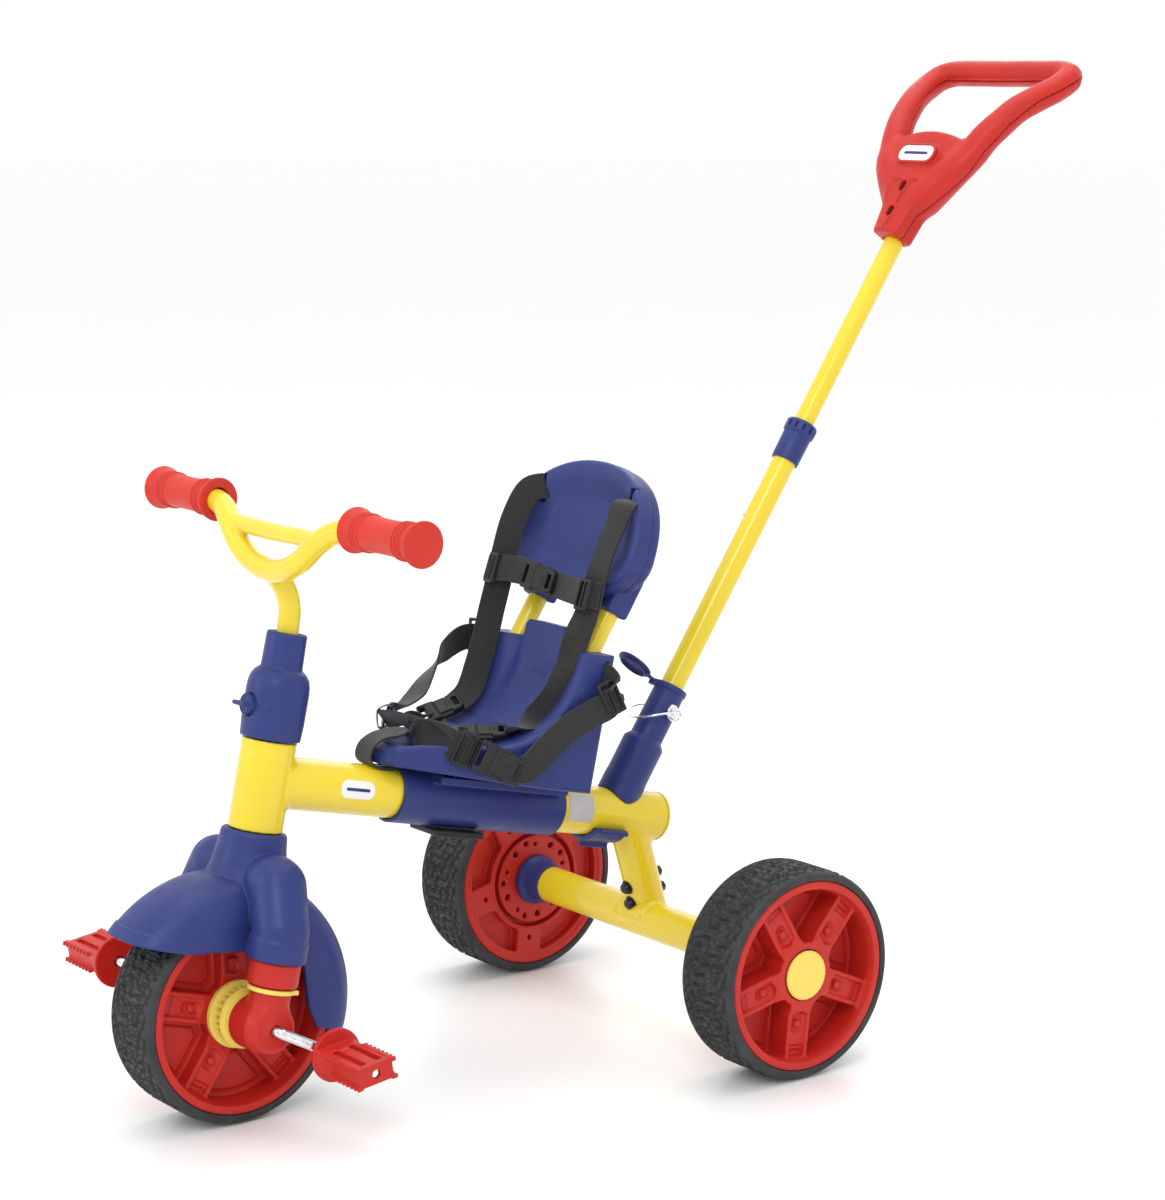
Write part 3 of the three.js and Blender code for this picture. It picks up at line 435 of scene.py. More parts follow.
# ---- Materials ----
class Graph:
    """Short hand for building a material's nodes."""

    def __init__(self, name, colour, roughness, metallic=0.0, coat=0.0, sheen=0.0):
        self.material = bpy.data.materials.new(name)
        self.material.use_nodes = True
        self.nodes, self.links = self.material.node_tree.nodes, self.material.node_tree.links
        self.shader = self.nodes["Principled BSDF"]
        self.shader.inputs["Base Color"].default_value = (*colour, 1)
        self.shader.inputs["Roughness"].default_value = roughness
        self.shader.inputs["Metallic"].default_value = metallic
        self.shader.inputs["Specular IOR Level"].default_value = 0.3
        self.shader.inputs["Coat Weight"].default_value = coat
        self.shader.inputs["Coat Roughness"].default_value = 0.12
        self.shader.inputs["Sheen Weight"].default_value = sheen
        self.where = self.nodes.new("ShaderNodeTexCoord").outputs["Object"]

    def noise(self, scale, detail=3.0, stretch=None):
        node = self.nodes.new("ShaderNodeTexNoise")
        node.inputs["Scale"].default_value = scale
        node.inputs["Detail"].default_value = detail
        source = self.where
        if stretch:
            mapping = self.nodes.new("ShaderNodeMapping")
            mapping.inputs["Scale"].default_value = stretch
            self.links.new(source, mapping.inputs["Vector"])
            source = mapping.outputs["Vector"]
        self.links.new(source, node.inputs["Vector"])
        return node.outputs["Fac"]

    def ramp(self, factor, low, high, start=0.35, end=0.65):
        node = self.nodes.new("ShaderNodeMapRange")
        node.inputs["From Min"].default_value, node.inputs["From Max"].default_value = start, end
        node.inputs["To Min"].default_value, node.inputs["To Max"].default_value = low, high
        self.links.new(factor, node.inputs["Value"])
        return node.outputs["Result"]

    def mix(self, factor, first, second):
        node = self.nodes.new("ShaderNodeMix")
        node.data_type = "RGBA"
        self.links.new(factor, node.inputs["Factor"])
        node.inputs["A"].default_value, node.inputs["B"].default_value = (*first, 1), (*second, 1)
        return node.outputs["Result"]

    def math(self, operation, a, b=None):
        node = self.nodes.new("ShaderNodeMath")
        node.operation = operation
        for socket, value in zip(node.inputs, (a, b)):
            if value is None:
                continue
            if isinstance(value, (int, float)):
                socket.default_value = value
            else:
                self.links.new(value, socket)
        return node.outputs["Value"]

    def bump(self, *heights):
        """Height fields with their depths in millimetres, laid over each other."""
        normal = None
        for height, depth in heights:
            node = self.nodes.new("ShaderNodeBump")
            node.inputs["Distance"].default_value = depth * MM
            self.links.new(height, node.inputs["Height"])
            if normal:
                self.links.new(normal, node.inputs["Normal"])
            normal = node.outputs["Normal"]
        self.links.new(normal, self.shader.inputs["Normal"])

    def set(self, name, source):
        self.links.new(source, self.shader.inputs[name])


def shades(colour, spread):
    """A colour a little darker and a little lighter."""
    return [c * (1 - spread) for c in colour], [min(c * (1 + spread), 1) for c in colour]


def moulded_plastic(name, colour, roughness=0.42, spread=0.05, grain=0.03):
    """Moulded plastic: a fine spark-eroded grain, slow shade changes and handling marks."""
    g = Graph(name, colour, roughness)
    g.set("Base Color", g.mix(g.ramp(g.noise(14), 0, 1), *shades(colour, spread)))
    g.set("Roughness", g.ramp(g.noise(55, 4), roughness - 0.05, roughness + 0.07))
    g.bump((g.noise(1500, 2), grain), (g.noise(90, 2), grain * 1.6))
    return g.material


def powder_coat(name, colour):
    """Glossy paint over steel: a faint orange peel and a clear top."""
    g = Graph(name, colour, 0.3, coat=0.6)
    g.set("Base Color", g.mix(g.ramp(g.noise(10), 0, 1), *shades(colour, 0.025)))
    g.set("Roughness", g.ramp(g.noise(60, 3), 0.26, 0.33))
    g.bump((g.noise(420, 2), 0.012), (g.noise(70, 1), 0.02))
    return g.material


def plated_steel(name, colour, roughness):
    """Bright plate with fine drawing lines and a few dull spots."""
    g = Graph(name, colour, roughness, metallic=1.0)
    g.set("Base Color", g.mix(g.ramp(g.noise(120), 0, 1), *shades(colour, 0.12)))
    g.set("Roughness", g.ramp(g.noise(300, 4), roughness * 0.7, roughness * 1.6))
    g.bump((g.noise(900, 2, stretch=(0.15, 1, 1)), 0.015))
    return g.material


def tyre_compound(name, colour):
    """Dull foamed tyre plastic: pitted, with paler dust on the high spots."""
    g = Graph(name, colour, 0.62)
    g.set("Base Color", g.mix(g.ramp(g.noise(45, 5), 0, 1), *shades(colour, 0.22)))
    g.set("Roughness", g.ramp(g.noise(160, 3), 0.5, 0.72))
    g.bump((g.noise(1100, 3), 0.05), (g.noise(260, 3), 0.09))
    return g.material


def woven_webbing(name, colour):
    """Flat woven strap: ribs across it and twill along it, drawn in the strap's own coordinates."""
    g = Graph(name, colour, 0.75, sheen=0.25)
    own = g.nodes.new("ShaderNodeAttribute")
    own.attribute_name = "weave"
    split = g.nodes.new("ShaderNodeSeparateXYZ")
    g.links.new(own.outputs["Vector"], split.inputs["Vector"])
    along, across = split.outputs["X"], split.outputs["Y"]
    warp = g.math("SINE", g.math("MULTIPLY", across, TAU / 1.5))
    weft = g.math("SINE", g.math("MULTIPLY", g.math("ADD", along, g.math("MULTIPLY", across, 0.6)), TAU / 1.1))
    height = g.math("MULTIPLY", g.math("ADD", g.math("MULTIPLY", warp, 0.5), weft), 0.4)
    # The colour follows the weave's height: painted shade in the troughs and painted highlight on the crests, on top of
    # the real bump below.
    g.set("Base Color", g.mix(g.ramp(height, 0, 1, -0.5, 0.5), *shades(colour, 0.35)))
    g.set("Roughness", g.ramp(g.noise(500), 0.66, 0.85))
    g.bump((height, 0.16), (g.noise(1800, 2), 0.04))
    return g.material


BLUE = moulded_plastic("blue plastic", (0.024, 0.037, 0.17), 0.4, 0.05)
RED = moulded_plastic("red plastic", (0.50, 0.020, 0.013), 0.4, 0.05)
SOFT_RED = moulded_plastic("soft red grip", (0.56, 0.030, 0.018), 0.5, 0.05, 0.05)
HUB_YELLOW = moulded_plastic("pale yellow plastic", (0.80, 0.63, 0.12), 0.4, 0.05)
BLACK = moulded_plastic("black plastic", (0.018, 0.018, 0.019), 0.42, 0.12)
WHITE = moulded_plastic("white sticker", (0.82, 0.82, 0.82), 0.35, 0.03, 0.01)
SILVER = moulded_plastic("silver sticker", (0.5, 0.5, 0.5), 0.38, 0.08, 0.02)
YELLOW = powder_coat("yellow powder coat", (0.78, 0.60, 0.022))
STEEL = plated_steel("bright plated steel", (0.78, 0.79, 0.8), 0.14)
BLACK_STEEL = plated_steel("blackened steel", (0.06, 0.06, 0.065), 0.35)
TYRE = tyre_compound("tyre compound", (0.036, 0.037, 0.039))
WEBBING = woven_webbing("black webbing", (0.017, 0.017, 0.018))


# ---- Wheels. Each is drawn about its own centre, with X pointing out of the tricycle ----
SPOKES = 5
TREAD_DEPTH = 3.2


def tread_height(u, v):
    """How far the tread stands up, from 0 to 1, at a place round the tyre and across it."""
    side = np.abs(v)
    flip = 0.5 * (v > 0)
    flame = np.sin(TAU * (u / 23 + 0.018 * side ** 1.4 + flip) + 1.2 * np.sin(side / 3.6))
    cut_in = np.sin(TAU * (u / 11.5 - 0.03 * side + flip) + 1.5 * np.sin(side / 2.6))
    swirl = np.sin(TAU * (u / 15.7 - v / 21) + 2.2 * np.sin(TAU * u / 42 + v / 4.6))
    pits = 1.15 * np.sin(TAU * u / 5.3 + 2.4 * np.sin(v / 2.1)) * np.sin(TAU * v / 6.3 + 1.9 * np.sin(u / 2.9))
    centre = np.clip((swirl + 0.72) * 3.2, 0, 1) * np.clip(1 - (pits - 0.42) * 4.5, 0.15, 1)
    shoulder = np.clip((flame + 0.8) * 3.4, 0, 1) * np.clip(1.2 - np.clip(cut_in - 0.45, 0, 1) * 2.0, 0.3, 1)
    edge = 18.5 + 2.2 * np.sin(TAU * (u / 23 + flip))
    line = np.clip(np.abs(side - edge) / 1.1, 0, 1)
    tread = np.where(side < edge, centre, np.maximum(shoulder, np.clip((side - 28.5) / 1.6, 0, 1)))
    return np.minimum(tread, 0.2 + 0.8 * line)


def tyre_mesh():
    turns = int(720 / FINE)
    rows = int(96 / FINE)
    half = TYRE_HALF
    outline = [(RIM_RADIUS + GAP, -half + 3), (RIM_RADIUS + GAP, -half), (96.5, -half), (99, -half + 5)]
    outline += [(WHEEL_RADIUS, -half + 11), (WHEEL_RADIUS, half - 11)]
    outline += [(99, half - 5), (96.5, half), (RIM_RADIUS + GAP, half), (RIM_RADIUS + GAP, half - 3)]
    line = smooth_path([(r, x, 0) for r, x in fillets(outline, 4, closed=False)], 0.5)
    even = np.linspace(0, len(line) - 1, rows)
    profile = np.column_stack([np.interp(even, range(len(line)), line[:, k]) for k in range(2)])
    angle = np.arange(turns) * TAU / turns
    round_tyre = 630  # the length of the tread, a whole number of its patterns
    u, v = np.meshgrid(angle * round_tyre / TAU, profile[:, 1], indexing="ij")
    radius = np.broadcast_to(profile[:, 0], u.shape)
    height = tread_height(u, v)
    crown = np.clip((radius - 97.6) / 1.6, 0, 1)
    radius = radius - TREAD_DEPTH * (1 - height) * crown
    vertices = np.stack([v, radius * np.cos(angle)[:, None], radius * np.sin(angle)[:, None]], -1).reshape(-1, 3)
    faces = []
    for i in range(turns):
        j = (i + 1) % turns
        for k in range(rows):
            m = (k + 1) % rows
            faces.append((i * rows + k, i * rows + m, j * rows + m, j * rows + k))
    return vertices, faces


def spoke_frame(index):
    """A frame at the wheel's centre whose Y runs along a spoke."""
    return Matrix.Rotation(TAU * index / SPOKES + math.radians(48), 4, "X")


def pocket_outline(inner, outer, half_width, corner_radius):
    """The window between two spokes, drawn in the wheel's plane, symmetric about its middle."""
    def across(reach, count, way):
        """Points at one distance from the wheel's centre, from one straight side to the other."""
        side = way * (math.pi / SPOKES - math.asin(half_width / reach))
        return [(reach * math.cos(t), reach * math.sin(t)) for t in np.linspace(-side, side, count)]

    return [tuple(p) for p in fillets(across(outer, 13, 1) + across(inner, 5, -1), corner_radius, 3)]


def rim_shape(hub_face, hub_radius, spoke_face, floor, back):
    """A moulded rim: lip, five channelled spokes with a bolt boss each, deep pockets, and a ribbed back."""
    half = TYRE_HALF - 0.6
    drum = cylinder(RIM_RADIUS, -half, half, axis=0, edge=1.6)
    dish = turned([(-1, 60), (-1, hub_face), (hub_radius, hub_face), (hub_radius + 8, spoke_face), (79.5, spoke_face),
                   (81.5, half - 2), (82.5, half + 2), (82.5, 60)], axis=0, edge=0.6)
    pocket = extruded(pocket_outline(hub_radius - 2, 80.5, 13.4, 10), floor, 60, axes=(1, 2, 0), edge=2)
    plate = extruded(pocket_outline(hub_radius + 7, 74, 20, 6), floor - 1, floor + 1.3, axes=(1, 2, 0), edge=0.8)
    pocket = cut(pocket, plate, k=1)
    channel = rounded_box((6, 20.5, 9.2), 2.4, (spoke_face + 2.4, 58.5, 0))
    well = rounded_box((6, 11.5, 6.8), 6.0, (spoke_face - 0.6, 47, 0))
    boss = cylinder(3.9, spoke_face - 9, spoke_face - 2.2, axis=0, edge=1.2)
    step = union(rounded_box((4, 2.4, 8.4), 0.8, (spoke_face - 2.6, 75.5, 0)),
                 rounded_box((4, 5.0, 8.6), 0.8, (spoke_face - 1.0, 73.5, 0)))
    shape = cut(drum, dish, k=1.2)
    tools, bosses = [], []
    for i in range(SPOKES):
        here = spoke_frame(i)
        tools += [moved(pocket, here @ spun(180 / SPOKES, "X"))] + [moved(tool, here) for tool in (channel, well, step)]
        bosses.append(moved(boss, here @ shift(0, 48, 0)))
    shape = cut(shape, *tools, k=1.0)
    shape = union(shape, *bosses, k=0.8)
    return cut(shape, back, k=1.0)


def ribbed_back(half):
    """What is hollowed out of a rim's inner face: a ring groove, sector pockets and holes."""
    ring = turned([(46, -half - 9), (51, -half - 9), (51, -half + 10), (46, -half + 10)], axis=0)
    lip = turned([(53, -half - 9), (83, -half - 9), (83, -half + 1.5), (53, -half + 1.5)], axis=0)
    sector = extruded(pocket_outline(56, 79, 15, 6), -60, -half + 12, axes=(1, 2, 0), edge=1.5)
    tools = [ring, lip]
    for i in range(SPOKES):
        here = spoke_frame(i)
        tools.append(moved(sector, here @ spun(180 / SPOKES, "X")))
        tools.append(moved(cylinder(2.6, -60, -half + 12, axis=0), here @ shift(0, 63, 0)))
        for turn, radius, reach in ((0.18, 3.4, 38), (0.72, 2.2, 37), (1.02, 3.0, 40)):
            at = here @ Matrix.Rotation(turn, 4, "X") @ shift(0, reach, 0)
            tools.append(moved(cylinder(radius, -60, -half + 8, axis=0), at))
    return union(*tools)


def build_wheels():
    tyre = tyre_mesh()
    half = TYRE_HALF - 0.6
    rear = rim_shape(29.6, 33, 27, 0.5, ribbed_back(half))
    rear = cut(rear, cylinder(24.2, 26.2, 60, axis=0), cylinder(5.4, -60, 60, axis=0))
    rear_mesh = surface(rear, (-half, -90, -90), (half, 90, 90), 1.25)
    inner_face = [(-1, -60), (-1, -16), (34, -16), (34, -19), (82.5, -22), (84.5, -half - 2), (84.5, -60)]
    front = rim_shape(19.4, 33, 22.5, 6.5, turned(inner_face, axis=0))
    front = cut(front, cylinder(25.2, 14.0, 60, axis=0))
    front = cut(union(front, cylinder(13.4, 0, 44, axis=0)), cylinder(5.2, -60, 60, axis=0))
    front_mesh = surface(front, (-half, -90, -90), (44, 90, 90), 1.25)
    cap = lathe([(0, 28.4), (23.2, 28.4), (23.6, 30.5), (21.8, 32.2), (0, 32.8)], 96, 0.9)
    for side, sign, flip in SIDES:
        here = REAR @ shift(sign * REAR_WHEEL_X, 0, 0) @ flip
        body = f"rear_wheel_{side}"
        piece(f"rear_tyre_{side}_tread", tyre, here, body, TYRE, f"rear_tyre_{side}", sharp=0)
        piece(f"rear_rim_{side}_moulding", rear_mesh, here, body, RED, f"rear_rim_{side}", sharp=0)
        piece(f"hub_cap_{side}_disc", cap, here @ ALONG_X, body, HUB_YELLOW, f"hub_cap_{side}")
    turned_on = FRONT @ spun(-28, "X")
    piece("front_tyre_tread", tyre, FRONT, "front_wheel", TYRE, "front_tyre", sharp=0)
    piece("front_rim_moulding", front_mesh, turned_on, "front_wheel", RED, "front_rim", sharp=0)


# ---- Steel frame ----
def build_frame():
    head = moved(cylinder(25, 163.5, 245, edge=0.6), STEERING)
    tube = moved(cylinder(TUBE_RADIUS, -448, -3, axis=1, edge=0.8), BEAM)
    strut_top, strut_foot = REAR_AXLE + Vector((0, -19, 96)), REAR_AXLE + Vector((0, 8.3, 4))
    strut = pipe([strut_top, strut_foot], 18.5)
    axle = moved(cylinder(19.2, -70, 70, axis=0), REAR)
    welded = union(union(tube, head, k=5), cut(strut, axle), k=7)
    low = (-26, FRONT_AXLE.y + 5, REAR_AXLE.z + 10)
    high = (26, BEAM_REAR.y + 5, 372)
    moulded("main_frame_tube", welded, low, high, 1.5, Matrix(), "frame", YELLOW, "main_frame")

    axle_tube = cylinder(18.5, -152, 152, axis=0, edge=0.8)
    post = pipe([(0, -8.9, 62), (0, 5.3, 14)], 12.9)
    bead = turned([(18.2, -20.5), (21, -19), (21, 19), (18.2, 20.5)], axis=0, edge=0.4)
    toe = cut(common(bead, half_space((0, -0.35, -1), 2)), half_space((0, 0, 1), -40))
    tube_and_weld = union(axle_tube, post, toe, k=2.5)
    moulded("rear_axle_pipe", tube_and_weld, (-153, -22, -22), (153, 24, 76), 1.3, REAR, "frame", YELLOW,
            "rear_axle_tube")
    axle_rod = rod([(-REAR_WHEEL_X - 27, 0, 0), (REAR_WHEEL_X + 27, 0, 0)], 5, 40)
    piece("rear_axle_bar", axle_rod, REAR, "frame", STEEL, "rear_axle_rod")

    cap = lathe([(0, -6), (20, -6), (20, 0.2), (24.4, 0.2), (24.4, 2.6), (21.5, 3.4), (0, 3.6)], 96, 0.9)
    turn = shift(0, -3, 0) @ spun(-90, "X")
    piece("frame_end_plug", cap, BEAM @ turn, "frame", YELLOW, "frame_end_cap")

    flare = [(5.4, -16), (15.8, -16), (15.8, -0.4), (19.6, 0), (19.8, 11), (21.6, 18), (25.4, 22.5), (26, 27.4),
             (5.4, 27.4)]
    screw = lathe([(0, 0), (2.6, 0), (2.4, 1.2), (0, 1.6)], 24, 0.5)
    for side, sign, flip in SIDES:
        here = REAR @ shift(sign * 152.4, 0, 0) @ flip
        piece(f"axle_bushing_{side}_flare", lathe(flare, 96, 1.4, closed=True), here @ ALONG_X, "frame", BLUE,
              f"axle_bushing_{side}")
        at = here @ shift(9, -13.5, -14.0) @ spun(136, "X")
        piece(f"bushing_screw_{side}", screw, at, "frame", BLACK_STEEL)

    line = (strut_foot - strut_top).normalized()
    out = Vector((0, line.z, -line.y))
    for name, share in (("upper", 0.62), ("lower", 0.80)):
        middle = strut_top.lerp(strut_foot, share)
        turn = out.to_track_quat("Z", "Y").to_matrix().to_4x4()
        bolt = joined(
            lathe([(0, 18.6), (5.6, 18.6), (5.6, 21), (4.9, 23.8), (2.6, 25.3), (0, 25.6)], 40, 1.0),
            lathe([(0, 18.3), (7.4, 18.3), (7.4, 19.2), (0, 19.2)], 40, 0.3),
            lathe([(0, -25), (2.5, -25), (2.5, 19), (0, 19)], 24, 0.3),
            lathe([(0, -23.6), (5.2, -23.6), (5.7, -22.6), (5.7, -20.2), (5.2, -19.2), (0, -19.2)], 6, 0.2),
        )
        piece(f"strut_bolt_{name}_capped", bolt, Matrix.Translation(middle) @ turn, "frame", BLACK_STEEL,
              f"strut_bolt_{name}")


# ---- Fork, drive housings, clutch, crank and pedals ----
LEG_X = 68.5
CRANK_REACH, CRANK_RISE = 49, -26


def guard_drum(shrink=0.0):
    """The mudguard's rounded outside, or with a shrink its inside: a drum about X, drawn out in front."""
    reach, half, rise, bow = 123, 46.5, 44, 0.74
    drawn_out, narrowing, nose = 1.06, 0.1, 130
    arc = [
        (reach - rise + rise * math.sin(t) ** bow, half * math.copysign(abs(math.cos(t)) ** bow, -math.cos(t)))
        for t in np.linspace(0, math.pi, 33)
    ]
    drum = turned([(0, -half)] + arc + [(0, half)], axis=0)

    def field(p):
        y, z = p[:, 1] + 6, p[:, 2] - 4
        x = p[:, 0] * (1 + narrowing * np.clip(-y / nose, 0, 1) ** 2)
        return drum(np.column_stack([x, np.where(y < 0, y / drawn_out, y), z])) + shrink

    return field


def build_fork():
    keep = [(-150, 94), (-62, 71), (-14, 65.5), (38, 55.5), (54, 53), (60, 0), (68, -20), (124, -40), (170, -40),
            (170, 170), (-170, 170)]
    inside_lip = [(y, z + 11.5) for y, z in keep[:4]]
    inside_lip += [(64, 58), (72, -10), (124, -30), (170, -30), (170, 170), (-170, 170)]
    lean = Matrix.Rotation(-HEAD_TILT, 4, "X")
    hood = common(guard_drum(), extruded(keep, -60, 60, axes=(1, 2, 0)))
    lip = common(guard_drum(-1.3), extruded(keep, -60, 60, axes=(1, 2, 0), edge=1))
    lip = cut(lip, extruded(inside_lip, -70, 70, axes=(1, 2, 0)), half_space((0, -1, 0), -50), k=1)
    outer = union(hood, lip, k=0.6)
    leg = union(cylinder(25.5, 60, 90, edge=2), pipe([(0, 0, 86), (-16.5, 0, 122)], 25.5))
    band = cylinder(26.8, 60, 79, edge=1.2)
    legs = moved(union(leg, band, k=0.8), shift(LEG_X, 0, 0))
    bridge = moved(cylinder(22.5, -52, 52, axis=0, edge=8), shift(0, 0, 124))
    collar = turned([(0, 112), (38.5, 112), (33.0, 130), (29.6, 148), (28.4, 159.6), (27.4, 160.9), (0, 161)],
                    edge=1.8)
    upright = union(union(legs, bridge, k=9), collar, k=1.2)
    body = union(outer, moved(upright, lean), k=1.5)
    leg_bore = moved(cylinder(18.9, 40, 84), shift(LEG_X, 0, 0))
    body = cut(body, guard_drum(5.4), moved(union(leg_bore, cylinder(9.9, 121, 200)), lean), k=0.8)
    moulded("fork_crown_moulding", mirrored(body), (-96, -150, -45), (96, 122, 168), 1.45, FRONT, "steering", BLUE,
            "fork_crown")


def build_drive():
    turn = Matrix.Rotation(HEAD_TILT, 4, "X")
    at_leg = shift(LEG_X, 0, 0)
    upright = union(cylinder(23, 38, 59.6, edge=1.6), cylinder(18.5, 0, 42), cylinder(18, 50, 82, edge=1), k=0.8)
    upright = moved(upright, at_leg)
    barrel = turned([(0, 48), (23.5, 48), (23.5, 73), (20, 83.6), (17.5, 84.6), (0, 84.6)], axis=0, edge=1)
    rim = turned([(0, 47.5), (24.2, 47.5), (24.2, 51), (0, 51)], axis=0, edge=0.6)
    barrel = moved(union(barrel, rim, k=0.6), turn)
    body = cut(union(upright, barrel, k=5), moved(cylinder(5.2, 40, 95, axis=0), turn))
    mesh = surface(body, (43, -28, -28), (96, 28, 84), 1.1)
    clip = cut(cylinder(21.6, 32, 36.2, edge=0.8), cylinder(18.9, 20, 50), rounded_box((13, 15, 6), 1, (0, 20, 34)))
    lips = union(*[rounded_box((1.6, 3.6, 2.1), 0.7, (across, 15.5, 34)) for across in (-14.6, 14.6)])
    clip_mesh = surface(moved(union(clip, lips, k=1), at_leg), (44, -26, 29), (94, 26, 39), 0.8)
    for side, _, flip in SIDES:
        piece(f"hub_housing_{side}_moulding", mesh, STEERING @ flip, "steering", RED, f"hub_housing_{side}", sharp=0)
        piece(f"leg_clip_{side}_ring", clip_mesh, STEERING @ flip, "steering", HUB_YELLOW, f"leg_clip_{side}",
              sharp=0)

    ring = [(13.8, 14.4), (24.5, 14.4), (24.5, 20), (31, 20), (31, 25.5), (21.5, 25.5), (21.5, 36.5), (28, 36.5),
            (28, 39), (24.2, 39), (24.2, 46), (13.8, 46)]
    parts = [lathe(ring, 120, 0.6, closed=True)]
    tooth, teeth = surface_box((4.8, 3.0, 11.2), 0.6), 24
    for i in range(teeth):
        parts.append(transformed(tooth, spun(360 * i / teeth, "Z") @ shift(23.4, 0, 31)))
    piece("clutch_ring_toothed", joined(*parts), FRONT @ ALONG_X, "clutch_ring", HUB_YELLOW, "clutch_ring")

    back, up, exit_x, inner = CRANK_REACH, CRANK_RISE, 90, 103
    route = [(-169.5, -back, -up), (-inner - 6, -back, -up)] + bend((-inner - 1, -back, -up), (-exit_x - 2, 0, 0))
    route += [(-exit_x + 4, 0, 0), (exit_x - 4, 0, 0)] + bend((exit_x + 2, 0, 0), (inner + 1, back, up))
    route += [(inner + 6, back, up), (169.5, back, up)]
    piece("crank_rod", rod(route, 4.8, 1.5, 28), FRONT, "crank", STEEL, "pedal_crank")


def bend(start, end):
    """Points between two ends of a crank arm, so that the curve stays close to the straight arm."""
    start, end = Vector(start), Vector(end)
    return [tuple(start.lerp(end, t)) for t in (0.06, 0.3, 0.5, 0.7, 0.94)]


def surface_box(size, edge):
    """A small block with bevelled edges, as a mesh."""
    x, y, z = (s / 2 for s in size)
    outline = [(-x + edge, -y), (x - edge, -y), (x, -y + edge), (x, y - edge), (x - edge, y), (-x + edge, y),
               (-x, y - edge), (-x, -y + edge)]
    inset = [(px * (x - edge) / x, py * (y - edge) / y) for px, py in outline]
    rings = [(inset, -z), (outline, -z + edge), (outline, z - edge), (inset, z)]
    vertices = [(px, py, h) for ring, h in rings for px, py in ring]
    return np.array(vertices), tube_faces(len(rings), len(outline))


def build_pedals():
    flange = cylinder(24.5, 105, 109.5, axis=0, edge=1.2)
    neck = turned([(0, 109), (21, 109), (15, 121), (0, 124)], axis=0, edge=1)
    plan = [(109, -20), (128, -17.5), (172, -17.5), (172, 17.5), (128, 17.5), (109, 20)]
    block = extruded(plan, -9.6, 9.6, edge=1.8)
    shape = union(flange, common(neck, rounded_box((40, 30, 10.5), 1, (125, 0, 0))), block, k=1.5)
    flanks = [extruded([(126, 15), (172.8, 15), (173.2, 21), (127, 21)], h - 2.2, h + 2.2, edge=0.8) for h in (8, -8)]
    shape = union(shape, *flanks, *[moved(f, Matrix.Diagonal((1, -1, 1, 1))) for f in flanks], k=0.6)
    pitch, notches = 6.4, 7
    tools = [cylinder(5.2, 100, 171, axis=0), cylinder(3.8, 160, 180, axis=0)]
    for side in (-1, 1):
        tools += [rounded_box((1.6, 2.4, 20), 0.7, (131.5 + i * pitch, side * 21.2, 0)) for i in range(notches)]
        tools += [rounded_box((22.5, 3.1, 5.5), 1.2, (143, side * 8.2, face * 11)) for face in (-1, 1)]
    mesh = surface(cut(shape, *tools, k=0.7), (103, -26, -26), (175, 26, 26), 0.95)
    tip = spun(8, "X")
    for side, sign, flip in SIDES:
        where = FRONT @ shift(0, sign * CRANK_REACH, sign * CRANK_RISE) @ tip @ flip
        piece(f"pedal_{side}_block", mesh, where, f"pedal_{side}", RED, f"pedal_{side}", sharp=0)


